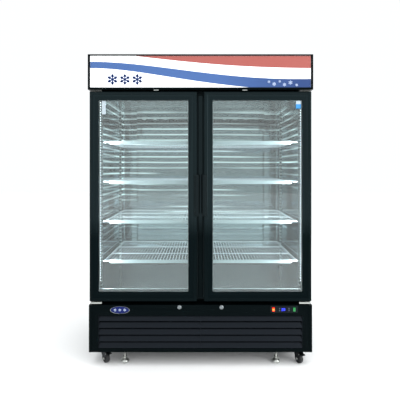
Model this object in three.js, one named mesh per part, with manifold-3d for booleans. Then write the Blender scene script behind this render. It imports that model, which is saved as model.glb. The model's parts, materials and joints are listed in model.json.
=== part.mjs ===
// A two-door glass merchandiser: an insulated, refrigerated cabinet with two hinged glass doors, a lit
// sign box over them, a machine compartment under them, casters and levelling feet.
// Millimetres, +Z up, +Y to the back. The origin is on the floor, at the middle of the object's plan.

import * as THREE from "three";
import { mergeVertices } from "three/addons/utils/BufferGeometryUtils.js";
import Module from "manifold-3d";

const wasm = await Module();
wasm.setup();

// ---------------------------------------------------------------- driving dimensions

// Overall
const WIDTH = 1382;
const DEPTH = 800;
const HEIGHT = 1930;

// Stack from the floor up
const CHASSIS_CLEARANCE = 93; // floor to the underside of the chassis
const FASCIA_TOP = 385; // floor to the top of the lower front cover
const BODY_BOTTOM = 400; // floor to the underside of the insulated body
const SIGN_HEIGHT = 216;
const SIGN_OVERLAP = 21; // how far the sign box hangs below the roof
const HINGE_ROOM = 7; // between the doors' top and the sign box
const SILL_ROOM = 8; // the doors' bottom above the insulated body's underside

// Stack from the front back
const SIGN_PROUD = 20; // the sign box stands this far in front of the doors
const DOOR_THICK = 48;
const GASKET_THICK = 10;
const FRAME_THICK = 3.5; // breaker frame round the opening

// Walls
const SEAM = 0.3; // clearance between pieces that touch
const SHEET = 0.8;
const WALL = 45; // insulated wall, skins included
const FLOOR_WALL = 55;

// Doors
const DOOR_REVEAL = 4.5; // door edge to cabinet side
const DOOR_GAP = 45; // between the two doors
const STILE = 54; // width of a door's frame members
const GLASS_UNIT = 20;
const PANE = 4;
const GLASS_BITE = 9.7; // how far the glass unit sits in its groove
const SPACER = 10;
const GASKET_INSET = 14;
const GASKET_WIDTH = 22;
const HANDLE_LENGTH = 254;
const HANDLE_BASE = 528; // door bottom to the handle's lower end
const HANDLE_WIDTH = 26;
const HANDLE_PROUD = 17;
const HANDLE_OVERHANG = 12; // how far the grip stands past the door's free edge
const HANDLE_WALL = 5;
const HANDLE_HOOK = 11; // depth of the hook behind the grip's face
const HANDLE_ROUND = 4;

// Hinges
const PIVOT_INSET = 14.5; // pivot to the door's outer edge
const PIN_RADIUS = 6;
const PIN_LENGTH = 14;
const HINGE_PLATE = 3;
const HINGE_LENGTH = 70;
const HINGE_REACH = 20; // pivot forward to the plates' front
const HINGE_LIP = 12; // height of the lower plates' folded front

// Mullion and shelves
const MULLION_HALF = 62;
const POST_HALF = 28;
const POST_DEPTH = 63;
const SHELF_LEVELS = 4;
const TOP_SPACE = 286; // ceiling to the top shelf
const BOTTOM_SPACE = 187; // floor to the bottom shelf
const SHELF_RAIL = 8;
const SHELF_SIDE_ROOM = 24; // shelf end to liner wall
const SHELF_POST_ROOM = 10; // shelf end to centre post
const SHELF_FRONT_ROOM = 22; // shelf front to the breaker frame's face
const SHELF_REAR_ROOM = 18; // shelf back to the air duct
const SHELF_BARS = 13;
const TICKET_INSET = 39;
const TICKET_HEIGHT = 22;
const PILASTER_THICK = 8;
const PILASTER_WIDTH = 22;
const PILASTER_FRONT = 36; // breaker frame's face to the front pilaster
const PILASTER_REAR = 40; // air duct to the rear pilaster

// Air duct and evaporator
const DUCT_DEPTH = 55;
const DUCT_HALF = 520;
const VENT_COLUMNS = [196, 284, 372, 460];
const VENT_DROPS = [60, 245, 310, 490, 550, 610, 670]; // rows of vents below the ceiling
const VENT = [26, 6];
const EVAPORATOR_FAN_RADIUS = 70;

// Sign box
const SIGN_DEPTH = 150;
const SIGN_LIP = 3;
const SIGN_BORDER = 14;
const SIGN_EDGE = 9;
const SIGN_SILL = 13;
const SIGN_PANEL = 3;
const LAMP_RADIUS = 13;

// Machine compartment
const CORNER_POST = 18;
const TRAY = 1.5;
const GRILLE_HALF = 632;
const GRILLE_BOTTOM = 115;
const GRILLE_TOP = 318;
const SLATS = 5;
const SLAT_HEIGHT = 30;
const SLAT_THICK = 2;
const SLAT_LEAN = 28;
const LOCK_X = 130;
const LOCK_Z = 372;
const LOCK_RADIUS = 11;
const CAM_LENGTH = 45;
const CONTROL = { x: 517, z: 359.5, width: 170, height: 43 };
const SWITCH_OFFSET = { light: -66, power: 63 };
const SWITCH_SIZE = [14, 24];
const CONDENSER_FAN_RADIUS = 105;

// Casters and feet
const WHEEL_RADIUS = 30;
const WHEEL_WIDTH = 22;
const AXLE_RADIUS = 4;
const CASTER_TRAIL = 20;
const CASTER_X = 615;
const CASTER_FRONT = 90; // sign face to the front swivels
const CASTER_REAR = 80; // back sheet to the rear swivels
const FOOT_X = 480;
const FOOT_FRONT = 80;
const FOOT_LIFT = 5;
const FOOT_RADIUS = 27;
const STEM_RADIUS = 8;

// ---------------------------------------------------------------- places worked out from them

const SIDE = WIDTH / 2;
const FRONT = -DEPTH / 2;
const BACK = DEPTH / 2;
const DOOR_FRONT = FRONT + SIGN_PROUD;
const DOOR_BACK = DOOR_FRONT + DOOR_THICK;
const BODY_FRONT = DOOR_BACK + GASKET_THICK;
const FOAM_FRONT = BODY_FRONT + FRAME_THICK + SEAM;
const SIGN_BOTTOM = HEIGHT - SIGN_HEIGHT;
const BODY_TOP = SIGN_BOTTOM + SIGN_OVERLAP;
const DOOR_TOP = SIGN_BOTTOM - HINGE_ROOM;
const DOOR_BOTTOM = BODY_BOTTOM + SILL_ROOM;
const FLOOR = BODY_BOTTOM + FLOOR_WALL;
const CEILING = BODY_TOP - WALL;
const LINER_X = SIDE - WALL;
const LINER_BACK = BACK - WALL;
const DUCT_FRONT = LINER_BACK - DUCT_DEPTH;
const POST_BACK = FOAM_FRONT + POST_DEPTH;
const TRAY_TOP = CHASSIS_CLEARANCE + TRAY;
const DOOR_OUTER = SIDE - DOOR_REVEAL;
const DOOR_INNER = DOOR_GAP / 2;
const PIVOT = [DOOR_OUTER - PIVOT_INSET, DOOR_FRONT + DOOR_THICK / 2];

// ---------------------------------------------------------------- solids from three.js geometry

// A closed three.js geometry as a solid that can be joined and cut.
function solidOf(geometry) {
  const bare = geometry.clone();
  bare.deleteAttribute("normal");
  bare.deleteAttribute("uv");
  const merged = mergeVertices(bare, 1e-4);
  return new wasm.Manifold(
    new wasm.Mesh({
      numProp: 3,
      vertProperties: merged.attributes.position.array,
      triVerts: new Uint32Array(merged.index.array),
    }),
  );
}

function geometryOf(solid) {
  const mesh = solid.getMesh();
  const geometry = new THREE.BufferGeometry();
  const position = new Float32Array(mesh.numVert * 3);
  for (let i = 0; i < mesh.numVert; i++) {
    position.set(mesh.vertProperties.subarray(i * mesh.numProp, i * mesh.numProp + 3), i * 3);
  }
  geometry.setAttribute("position", new THREE.BufferAttribute(position, 3));
  geometry.setIndex(new THREE.BufferAttribute(mesh.triVerts, 1));
  geometry.computeVertexNormals();
  return geometry;
}

const joined = (...solids) => solids.reduce((all, one) => all.add(one));
const cut = (solid, ...tools) => tools.reduce((left, tool) => left.subtract(tool), solid);
const middle = ([low, high]) => (low + high) / 2;
const about = (centre, half) => [centre - half, centre + half];

// A box from its [low, high] on each axis.
function block(x, y, z) {
  const box = new THREE.BoxGeometry(x[1] - x[0], y[1] - y[0], z[1] - z[0]);
  return solidOf(box.translate(middle(x), middle(y), middle(z)));
}

// A round bar or cone along an axis, from its low end's centre.
function rod(axis, radius, length, [x, y, z], sides = 24, farRadius = radius) {
  const bar = new THREE.CylinderGeometry(farRadius, radius, length, sides);
  bar.translate(0, length / 2, 0);
  if (axis === "x") bar.rotateZ(-Math.PI / 2);
  if (axis === "z") bar.rotateX(Math.PI / 2);
  return solidOf(bar.translate(x, y, z));
}

// A body turned about Z from [radius, z] points that start and end on the axis.
function turned(points, sides = 28) {
  const profile = points.map(([r, z]) => new THREE.Vector2(r, z));
  return solidOf(new THREE.LatheGeometry(profile, sides).rotateX(Math.PI / 2));
}

// An outline of [y, z] points carried along X.
function alongX(points, [low, high]) {
  const outline = new THREE.Shape(points.map(([y, z]) => new THREE.Vector2(y, z)));
  const bar = new THREE.ExtrudeGeometry(outline, { depth: high - low, bevelEnabled: false });
  bar.applyMatrix4(new THREE.Matrix4().set(0, 0, 1, low, 1, 0, 0, 0, 0, 1, 0, 0, 0, 0, 0, 1));
  return solidOf(bar);
}

// A shape in the XY plane carried along Z.
function alongZ(outline, [low, high]) {
  const bar = new THREE.ExtrudeGeometry(outline, { depth: high - low, bevelEnabled: false, curveSegments: 5 });
  return solidOf(bar.translate(0, 0, low));
}

// A rectangular frame: a closed outline of [inset from the outer edge, y] points, listed from the outer
// front towards the inner front, carried round four mitred corners.
function mitredFrame(x, z, outline) {
  const corners = [
    [x[0], z[0], 1, 1],
    [x[1], z[0], -1, 1],
    [x[1], z[1], -1, -1],
    [x[0], z[1], 1, -1],
  ];
  const count = outline.length;
  const position = corners.flatMap(([cx, cz, dx, dz]) =>
    outline.flatMap(([inset, y]) => [cx + dx * inset, y, cz + dz * inset]),
  );
  const index = [];
  for (let corner = 0; corner < 4; corner++) {
    for (let i = 0; i < count; i++) {
      const a = corner * count + i;
      const b = corner * count + ((i + 1) % count);
      const c = ((corner + 1) % 4) * count + ((i + 1) % count);
      const d = ((corner + 1) % 4) * count + i;
      index.push(a, d, c, a, c, b);
    }
  }
  const geometry = new THREE.BufferGeometry();
  geometry.setAttribute("position", new THREE.Float32BufferAttribute(position, 3));
  geometry.setIndex(index);
  return solidOf(geometry);
}

// ---------------------------------------------------------------- materials

const finish = (color, roughness, metalness = 0) => new THREE.MeshStandardMaterial({ color, roughness, metalness });
const paintedSteel = finish(0x0d1113, 0.35);
const doorProfile = finish(0x101517, 0.3);
const blackPlastic = finish(0x0a0c0e, 0.45);
const louvrePlastic = finish(0x1c2127, 0.4);
const stainless = finish(0xb9bfc0, 0.25, 1);
const galvanised = finish(0x9aa0a2, 0.45, 1);
const foam = finish(0xe8dfb8, 0.9);
const whiteWire = finish(0xeef2f3, 0.4);
const acrylic = finish(0xf4f6f7, 0.25);
const glass = new THREE.MeshStandardMaterial({
  color: 0xcfe0e0,
  roughness: 0.05,
  transparent: true,
  opacity: 0.25,
});
const gasketVinyl = finish(0x15181a, 0.7);
const zinc = finish(0xa8aca8, 0.35, 1);
const chrome = finish(0xd8dadb, 0.15, 1);
const copperFins = finish(0xb0b4b5, 0.4, 1);
const tyreRubber = finish(0x17181a, 0.7);
const lampGlass = finish(0xffffff, 0.3);
const redLens = finish(0xd8321a, 0.3);
const greenLens = finish(0x1d8a4a, 0.3);

// ---------------------------------------------------------------- the assembly

const merchandiser = new THREE.Group();

function show(name, material, solid, parent = merchandiser) {
  const mesh = new THREE.Mesh(geometryOf(solid), material);
  mesh.name = name;
  parent.add(mesh);
  return mesh;
}

// What stands on both sides is built for the right, and the left is its mirror image.
const halves = ["left", "right"].map((side) => {
  const half = new THREE.Group();
  half.scale.x = side === "left" ? -1 : 1;
  merchandiser.add(half);
  return { side, half };
});

function showOnBothSides(name, material, solid) {
  for (const { side, half } of halves) show(`${name}_${side}`, material, solid, half);
}

// ---------------------------------------------------------------- insulated body

const bodySpan = about(0, SIDE - SHEET - SEAM);

showOnBothSides(
  "side_panel",
  paintedSteel,
  block([SIDE - SHEET, SIDE], [FOAM_FRONT, BACK], [CHASSIS_CLEARANCE, BODY_TOP]),
);

// One sheet folded over the roof, down the back and under the body.
show(
  "outer_wrap",
  paintedSteel,
  alongX(
    [
      [FOAM_FRONT, BODY_BOTTOM],
      [BACK, BODY_BOTTOM],
      [BACK, BODY_TOP],
      [FOAM_FRONT, BODY_TOP],
      [FOAM_FRONT, BODY_TOP - SHEET],
      [BACK - SHEET, BODY_TOP - SHEET],
      [BACK - SHEET, BODY_BOTTOM + SHEET],
      [FOAM_FRONT, BODY_BOTTOM + SHEET],
    ],
    bodySpan,
  ),
);

const linerOuter = {
  x: about(0, LINER_X + SHEET),
  y: [FOAM_FRONT, LINER_BACK + SHEET],
  z: [FLOOR - SHEET, CEILING + SHEET],
};
const grown = ([low, high], by) => [low - by, high + by];

show(
  "insulation",
  foam,
  cut(
    block(bodySpan, [FOAM_FRONT, BACK - SHEET - SEAM], grown([BODY_BOTTOM, BODY_TOP], -SHEET - SEAM)),
    block(
      grown(linerOuter.x, SEAM),
      [FOAM_FRONT - SHEET, linerOuter.y[1] + SEAM],
      grown(linerOuter.z, SEAM),
    ),
  ),
);

show(
  "inner_liner",
  stainless,
  cut(
    block(linerOuter.x, linerOuter.y, linerOuter.z),
    block(about(0, LINER_X), [FOAM_FRONT - SHEET, LINER_BACK], [FLOOR, CEILING]),
  ),
);

// The breaker frame closes the front edge of the foam, and its mullion carries the two doors' gaskets.
const OPENING_LIP = 6;
const frameSpan = [BODY_FRONT, BODY_FRONT + FRAME_THICK];
show(
  "front_frame",
  blackPlastic,
  joined(
    cut(
      block(about(0, SIDE), frameSpan, [BODY_BOTTOM, BODY_TOP]),
      block(about(0, LINER_X - OPENING_LIP), grown(frameSpan, 1), grown([FLOOR, CEILING], -OPENING_LIP)),
    ),
    block(about(0, MULLION_HALF), frameSpan, [BODY_BOTTOM, BODY_TOP]),
    block(about(0, POST_HALF), [BODY_FRONT, POST_BACK], grown([FLOOR, CEILING], -SEAM)),
  ),
);

// ---------------------------------------------------------------- sign box

const SIGN_BACK = FRONT + SIGN_DEPTH;
const signSkirtBack = BODY_FRONT - SEAM;
const roofGap = BODY_TOP + SEAM;
const signWindow = block(
  about(0, SIDE - SIGN_BORDER),
  [FRONT - 1, FRONT + SIGN_LIP + 1],
  [SIGN_BOTTOM + SIGN_SILL, HEIGHT - SIGN_EDGE],
);
const signCavity = joined(
  block(
    about(0, SIDE - SHEET),
    [FRONT + SIGN_LIP, signSkirtBack - SHEET],
    [SIGN_BOTTOM + SHEET, HEIGHT - SHEET],
  ),
  block(about(0, SIDE - SHEET), [FRONT + SIGN_LIP, SIGN_BACK - SHEET], [roofGap + SHEET, HEIGHT - SHEET]),
);
show(
  "sign_housing",
  paintedSteel,
  cut(
    joined(
      block(about(0, SIDE), [FRONT, signSkirtBack], [SIGN_BOTTOM, HEIGHT]),
      block(about(0, SIDE), [FRONT, SIGN_BACK], [roofGap, HEIGHT]),
    ),
    signCavity,
    signWindow,
  ),
);

const PANEL_LAP = 5; // the sign panel laps behind the window's edge
show(
  "sign_panel",
  acrylic,
  block(
    about(0, SIDE - SIGN_BORDER + PANEL_LAP),
    [FRONT + SIGN_LIP + SEAM, FRONT + SIGN_LIP + SEAM + SIGN_PANEL],
    [SIGN_BOTTOM + SIGN_SILL - PANEL_LAP, HEIGHT - SIGN_EDGE + PANEL_LAP],
  ),
);

const LAMP_END_ROOM = 70;
const lampHalf = SIDE - LAMP_END_ROOM;
const lampPlace = [SIGN_BACK - SHEET - SEAM - 40, (roofGap + HEIGHT) / 2];
const lampHolder = (x) =>
  block(about(x, 8), [lampPlace[0] - 16, SIGN_BACK - SHEET - SEAM], about(lampPlace[1], 18));
show(
  "sign_lamp",
  lampGlass,
  joined(
    rod("x", LAMP_RADIUS, 2 * lampHalf, [-lampHalf, ...lampPlace], 16),
    lampHolder(-lampHalf),
    lampHolder(lampHalf),
  ),
);

// ---------------------------------------------------------------- chassis, cover and grilles

const frontCasterY = FRONT + CASTER_FRONT;
const rearCasterY = BACK - CASTER_REAR;
const footY = FRONT + FOOT_FRONT;
const SWIVEL_PLATE = 3;
const postSpan = [SIDE - CORNER_POST, SIDE];
const footHole = (x) => rod("z", STEM_RADIUS + 0.8, 20, [x, footY, CHASSIS_CLEARANCE - 10], 16);

show(
  "base_chassis",
  blackPlastic,
  cut(
    joined(
      block(bodySpan, [DOOR_FRONT + SHEET + 1, BACK - SEAM], [CHASSIS_CLEARANCE, TRAY_TOP]),
      ...[-1, 1].map((sign) =>
        block(
          sign > 0 ? postSpan : [-postSpan[1], -postSpan[0]],
          [DOOR_FRONT, FOAM_FRONT - SEAM],
          [CHASSIS_CLEARANCE, FASCIA_TOP],
        ),
      ),
    ),
    footHole(-FOOT_X),
    footHole(FOOT_X),
  ),
);

const FASCIA_SHEET = 1.5;
const fasciaSpan = about(0, SIDE - CORNER_POST - SEAM);
const controlX = about(CONTROL.x, CONTROL.width / 2);
const controlZ = about(CONTROL.z, CONTROL.height / 2);
const CONTROL_FLANGE = 6;
const lockHole = (x) => rod("y", LOCK_RADIUS + 0.4, 20, [x, DOOR_FRONT - 10, LOCK_Z], 24);
const CAM_THICK = 3;
const CAM_BACK = 30; // fascia face to the cam's front
const camSpan = [DOOR_FRONT + CAM_BACK, DOOR_FRONT + CAM_BACK + CAM_THICK];
const camSlotX = (sign) => [sign * LOCK_X - (sign > 0 ? 8 : CAM_LENGTH + 2), sign * LOCK_X + (sign > 0 ? CAM_LENGTH + 2 : 8)];

show(
  "front_fascia",
  paintedSteel,
  cut(
    joined(
      block(fasciaSpan, [DOOR_FRONT, DOOR_FRONT + FASCIA_SHEET], [CHASSIS_CLEARANCE, FASCIA_TOP]),
      block(fasciaSpan, [DOOR_FRONT, BODY_FRONT - SEAM], [FASCIA_TOP - FASCIA_SHEET, FASCIA_TOP]),
    ),
    block(about(0, GRILLE_HALF), about(DOOR_FRONT, 5), [GRILLE_BOTTOM, GRILLE_TOP]),
    block(grown(controlX, -CONTROL_FLANGE), about(DOOR_FRONT, 5), grown(controlZ, -CONTROL_FLANGE)),
    lockHole(-LOCK_X),
    lockHole(LOCK_X),
    ...[-1, 1].map((sign) => block(camSlotX(sign), grown(camSpan, 2), about(FASCIA_TOP, 4))),
  ),
);

// Five leaning slats between two end plates and a middle rib.
const slatPitch = (GRILLE_TOP - GRILLE_BOTTOM - SLAT_HEIGHT - 4) / (SLATS - 1);
const slatFace = DOOR_FRONT + 1;
const slat = (bottom) =>
  alongX(
    [
      [slatFace, bottom],
      [slatFace + SLAT_THICK, bottom],
      [slatFace + SLAT_THICK, bottom + 4],
      [slatFace + SLAT_LEAN + SLAT_THICK, bottom + SLAT_HEIGHT],
      [slatFace + SLAT_LEAN, bottom + SLAT_HEIGHT],
      [slatFace, bottom + 4 + SLAT_THICK],
    ],
    about(0, GRILLE_HALF - SEAM),
  );
const grilleRib = (x) => block(x, [slatFace + 1, slatFace + SLAT_LEAN + 4], [GRILLE_BOTTOM + SEAM, GRILLE_TOP - SEAM]);
show(
  "front_grille",
  louvrePlastic,
  joined(
    ...Array.from({ length: SLATS }, (_, i) => slat(GRILLE_BOTTOM + 2 + i * slatPitch)),
    grilleRib([GRILLE_HALF - SEAM - 2, GRILLE_HALF - SEAM]),
    grilleRib([-GRILLE_HALF + SEAM, -GRILLE_HALF + SEAM + 2]),
    grilleRib(about(0, 2)),
  ),
);

// The rear grille is set in a little, so that the cord gland doesn't stand past the back.
const REAR_INSET = 12;
const REAR_SLOTS = 9;
const GLAND = { x: 560, z: 150 };
const rearGrille = [BACK - REAR_INSET, BACK - REAR_INSET + FASCIA_SHEET];
const rearSlots = [-1, 0, 1].flatMap((column) =>
  Array.from({ length: REAR_SLOTS }, (_, row) =>
    block(about(column * 320, 120), grown(rearGrille, 2), about(TRAY_TOP + 60 + row * 22, 4)),
  ),
);
show(
  "rear_grille",
  galvanised,
  cut(
    joined(
      cut(
        block(bodySpan, rearGrille, [TRAY_TOP + SEAM, BODY_BOTTOM - SEAM]),
        ...rearSlots,
      ),
      rod("y", 13, REAR_INSET, [GLAND.x, rearGrille[0], GLAND.z], 18),
    ),
    rod("y", 6, 4 * REAR_INSET, [GLAND.x, BACK - 2 * REAR_INSET, GLAND.z], 14),
  ),
);

// ---------------------------------------------------------------- refrigeration

const machineFloor = TRAY_TOP + SEAM;
const COMPRESSOR_RADIUS = 82;
const compressorAt = [-300, 120];
const compressorShell = cut(
  turned([
    [0, 0],
    [COMPRESSOR_RADIUS - 14, 0],
    [COMPRESSOR_RADIUS, 16],
    [COMPRESSOR_RADIUS, 118],
    [COMPRESSOR_RADIUS - 10, 148],
    [COMPRESSOR_RADIUS - 36, 170],
    [0, 178],
  ]),
  rod("z", COMPRESSOR_RADIUS - 16, 148, [0, 0, -6], 24),
).translate([...compressorAt, machineFloor + 14]);
const compressorFeet = [-1, 1].flatMap((sx) =>
  [-1, 1].map((sy) => rod("z", 11, 12, [compressorAt[0] + sx * 90, compressorAt[1] + sy * 44, machineFloor], 12)),
);
show(
  "compressor",
  blackPlastic,
  joined(
    compressorShell,
    block(about(compressorAt[0], 105), about(compressorAt[1], 58), [machineFloor + 10, machineFloor + 18]),
    ...compressorFeet,
    rod("x", 6, 60, [compressorAt[0] + COMPRESSOR_RADIUS - 8, compressorAt[1], machineFloor + 90], 12),
  ),
);

// A finned coil: upright fins between a top plate and a bottom plate, open from front to back.
const FIN = 2.5;
function coilSolid(x, y, z, fins) {
  const pitch = (x[1] - x[0] - FIN) / fins;
  const passages = Array.from({ length: fins }, (_, i) => {
    const start = x[0] + FIN + i * pitch;
    return block([start, start + pitch - FIN], grown(y, 1), grown(z, -3));
  });
  return cut(block(x, y, z), ...passages);
}

const CONDENSER = { x: [60, 380], y: [BODY_FRONT + 32, BODY_FRONT + 100], z: [machineFloor, 372] };
const fanCentre = [middle(CONDENSER.x), CONDENSER.y[1], middle(CONDENSER.z)];
const SHROUD_DEPTH = 46;
const shroudSpan = [CONDENSER.y[1] - 1, CONDENSER.y[1] + SHROUD_DEPTH];
const motorFront = shroudSpan[1] - 4;
show(
  "condenser_unit",
  copperFins,
  joined(
    coilSolid(CONDENSER.x, CONDENSER.y, CONDENSER.z, 14),
    cut(
      block(grown(CONDENSER.x, 1), shroudSpan, grown(CONDENSER.z, -1)),
      rod("y", CONDENSER_FAN_RADIUS + 8, SHROUD_DEPTH + 9, [fanCentre[0], CONDENSER.y[1], fanCentre[2]], 30),
      block(grown(CONDENSER.x, -3), [CONDENSER.y[1] + 2, shroudSpan[1] - 2], grown(CONDENSER.z, -4)),
    ),
    block(grown(CONDENSER.x, -2), [motorFront, motorFront + 3], about(fanCentre[2], 14)),
    rod("y", 38, 52, [fanCentre[0], motorFront, fanCentre[2]], 24),
  ),
);

// A bladed fan about Y, its hub's middle at the origin and its shaft towards the motor behind it.
function fanSolid(tip, hub, depth, blades, shaft) {
  const reach = tip - hub + 6;
  const blade = new THREE.BoxGeometry(reach, 2.5, tip * 0.62).translate(hub - 4 + reach / 2, 0, 0);
  blade.rotateX(0.5);
  const parts = [rod("y", hub, depth, [0, -depth / 2, 0], 20), rod("y", hub / 4, shaft, [0, 0, 0], 12)];
  for (let i = 0; i < blades; i++) {
    parts.push(solidOf(blade.clone().rotateY((i * 2 * Math.PI) / blades)));
  }
  return joined(...parts).intersect(rod("y", tip, 4 * depth, [0, -2 * depth, 0], 36));
}

const condenserFan = show("condenser_fan", blackPlastic, fanSolid(CONDENSER_FAN_RADIUS, 26, 24, 5, 18 - SEAM));
condenserFan.position.set(fanCentre[0], motorFront - 18, fanCentre[2]);

// The evaporator stands behind the air duct, with its fan above it on a bracket.
const EVAPORATOR = { x: [-430, 430], y: [DUCT_FRONT + 8, LINER_BACK - 3], z: [CEILING - 590, CEILING - 290] };
const evaporatorFanZ = CEILING - 130;
const evaporatorMotor = [LINER_BACK - 14, LINER_BACK - 3];
show(
  "evaporator_coil",
  copperFins,
  joined(
    coilSolid(EVAPORATOR.x, EVAPORATOR.y, EVAPORATOR.z, 22),
    block(about(0, 18), [LINER_BACK - 7, LINER_BACK - 3.5], [EVAPORATOR.z[1] - 2, evaporatorFanZ + 20]),
    rod("y", 24, evaporatorMotor[1] - evaporatorMotor[0], [0, evaporatorMotor[0], evaporatorFanZ], 20),
    ...[0, 1, 2].flatMap((i) =>
      [-1, 1].map((sign) =>
        block(
          sign > 0 ? [EVAPORATOR.x[1] - 1, EVAPORATOR.x[1] + 22] : [EVAPORATOR.x[0] - 22, EVAPORATOR.x[0] + 1],
          about(middle(EVAPORATOR.y), 6),
          about(EVAPORATOR.z[0] + 60 + i * 90, 26),
        ),
      ),
    ),
  ),
);

const evaporatorFan = show(
  "evaporator_fan",
  blackPlastic,
  fanSolid(EVAPORATOR_FAN_RADIUS, 20, 12, 5, 20 - SEAM),
);
evaporatorFan.position.set(0, evaporatorMotor[0] - 20, evaporatorFanZ);

const ductBottom = FLOOR + 16;
const ductWall = [DUCT_FRONT, DUCT_FRONT + SHEET];
const vents = VENT_DROPS.flatMap((drop) =>
  VENT_COLUMNS.flatMap((x) => [-x, x]).map((x) =>
    block(about(x, VENT[0] / 2), grown(ductWall, 2), about(CEILING - drop, VENT[1] / 2)),
  ),
);
const CENTRE_CHANNEL = 14;
const ductOutline = new THREE.Shape();
ductOutline.moveTo(-DUCT_HALF, DUCT_FRONT);
ductOutline.lineTo(DUCT_HALF, DUCT_FRONT);
ductOutline.lineTo(DUCT_HALF, LINER_BACK - SEAM);
ductOutline.lineTo(DUCT_HALF - SHEET, LINER_BACK - SEAM);
ductOutline.lineTo(DUCT_HALF - SHEET, ductWall[1]);
ductOutline.lineTo(-DUCT_HALF + SHEET, ductWall[1]);
ductOutline.lineTo(-DUCT_HALF + SHEET, LINER_BACK - SEAM);
ductOutline.lineTo(-DUCT_HALF, LINER_BACK - SEAM);
ductOutline.closePath();
show(
  "air_duct_panel",
  stainless,
  cut(
    joined(
      alongZ(ductOutline, [ductBottom, CEILING - SEAM]),
      block(
        about(0, POST_HALF),
        [DUCT_FRONT - CENTRE_CHANNEL, DUCT_FRONT + 0.5],
        [ductBottom + 4, evaporatorFanZ - 100],
      ),
    ),
    ...vents,
    rod("y", EVAPORATOR_FAN_RADIUS + 5, 30, [0, DUCT_FRONT - 15, evaporatorFanZ], 24),
  ),
);

// ---------------------------------------------------------------- shelves and their pilasters

const pilasterX = [LINER_X - SEAM - PILASTER_THICK, LINER_X - SEAM];
const pilasterZ = [FLOOR + 15, CEILING - 10];
const frontPilasterY = [BODY_FRONT + PILASTER_FRONT, BODY_FRONT + PILASTER_FRONT + PILASTER_WIDTH];
const rearPilasterY = [DUCT_FRONT - PILASTER_REAR - PILASTER_WIDTH, DUCT_FRONT - PILASTER_REAR];
const pilaster = (y) =>
  cut(
    block(pilasterX, y, pilasterZ),
    block([pilasterX[0] + SHEET, pilasterX[1] + 1], grown(y, -SHEET), grown(pilasterZ, 1)),
  );
showOnBothSides("pilaster_front", stainless, pilaster(frontPilasterY));
showOnBothSides("pilaster_rear", stainless, pilaster(rearPilasterY));

const shelfX = [POST_HALF + SHELF_POST_ROOM, LINER_X - SHELF_SIDE_ROOM];
const shelfY = [BODY_FRONT + SHELF_FRONT_ROOM, DUCT_FRONT - SHELF_REAR_ROOM];
const shelfStep = (CEILING - FLOOR - TOP_SPACE - BOTTOM_SPACE) / (SHELF_LEVELS - 1);
const BAR = 4;

// A shelf of bars with its top at z = 0: a frame with bars from front to back, a ticket strip whose lip
// stands over the front edge, and a hook at each corner that reaches its pilaster.
const TICKET_LIP = 2;
function shelfSolid() {
  const inside = grown(shelfX, -SHELF_RAIL);
  const pitch = (inside[1] - inside[0] + BAR) / (SHELF_BARS + 1);
  const slots = Array.from({ length: SHELF_BARS + 1 }, (_, i) => {
    const start = inside[0] + i * pitch;
    return block([start, start + pitch - BAR], grown(shelfY, -SHELF_RAIL), [-SHELF_RAIL - 1, 1]);
  });
  const hook = (x, y) => block(x, y, [1 - SHELF_RAIL, -2]);
  const toWall = [shelfX[1] - 2, pilasterX[0] - SEAM];
  const toPost = [POST_HALF + SEAM, shelfX[0] + 2];
  return joined(
    cut(block(shelfX, shelfY, [-SHELF_RAIL, 0]), ...slots),
    block(grown(shelfX, -TICKET_INSET), [shelfY[0] - 2, shelfY[0] + 1], [TICKET_LIP - TICKET_HEIGHT, TICKET_LIP]),
    hook(toWall, frontPilasterY),
    hook(toWall, rearPilasterY),
    hook(toPost, [shelfY[0] + 2, shelfY[0] + PILASTER_WIDTH]),
    hook(toPost, [shelfY[1] - PILASTER_WIDTH, shelfY[1] - 2]),
  );
}

const shelf = shelfSolid();
for (const { side, half } of halves) {
  for (let level = 1; level <= SHELF_LEVELS; level++) {
    const mesh = show(`shelf_${side}_${level}`, whiteWire, shelf, half);
    mesh.position.z = FLOOR + BOTTOM_SPACE + (level - 1) * shelfStep;
  }
}

// ---------------------------------------------------------------- doors

const doorX = [DOOR_INNER, DOOR_OUTER];
const doorZ = [DOOR_BOTTOM, DOOR_TOP];
const unitFront = DOOR_FRONT + 14;
const unitBack = unitFront + GLASS_UNIT;
const grooveInset = STILE - GLASS_BITE - SEAM;
const CHANNEL = [24, 38]; // hollow behind the gasket, as insets from the door's edge

const doorOutline = [
  [0, DOOR_FRONT + 2],
  [2, DOOR_FRONT],
  [20, DOOR_FRONT],
  [22, DOOR_FRONT + 3],
  [STILE - 4, DOOR_FRONT + 6],
  [STILE, DOOR_FRONT + 10],
  [STILE, unitFront - SEAM],
  [grooveInset, unitFront - SEAM],
  [grooveInset, unitBack + SEAM],
  [STILE, unitBack + SEAM],
  [STILE, DOOR_BACK - 4],
  [STILE - 4, DOOR_BACK],
  [CHANNEL[1], DOOR_BACK],
  [CHANNEL[1], unitFront],
  [CHANNEL[0], unitFront],
  [CHANNEL[0], DOOR_BACK],
  [2, DOOR_BACK],
  [0, DOOR_BACK - 2],
];
const PIN_ROOM = 0.35;
const pinHole = (z) => rod("z", PIN_RADIUS + PIN_ROOM, PIN_LENGTH + 8, [...PIVOT, z], 24);
const camSlot = block([LOCK_X - 10, LOCK_X + CAM_LENGTH], grown(camSpan, 2), [DOOR_BOTTOM - 1, DOOR_BOTTOM + 14]);
showOnBothSides(
  "door_frame",
  doorProfile,
  cut(
    mitredFrame(doorX, doorZ, doorOutline),
    pinHole(DOOR_BOTTOM - 4),
    pinHole(DOOR_TOP - PIN_LENGTH - 4),
    camSlot,
  ),
);

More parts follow.
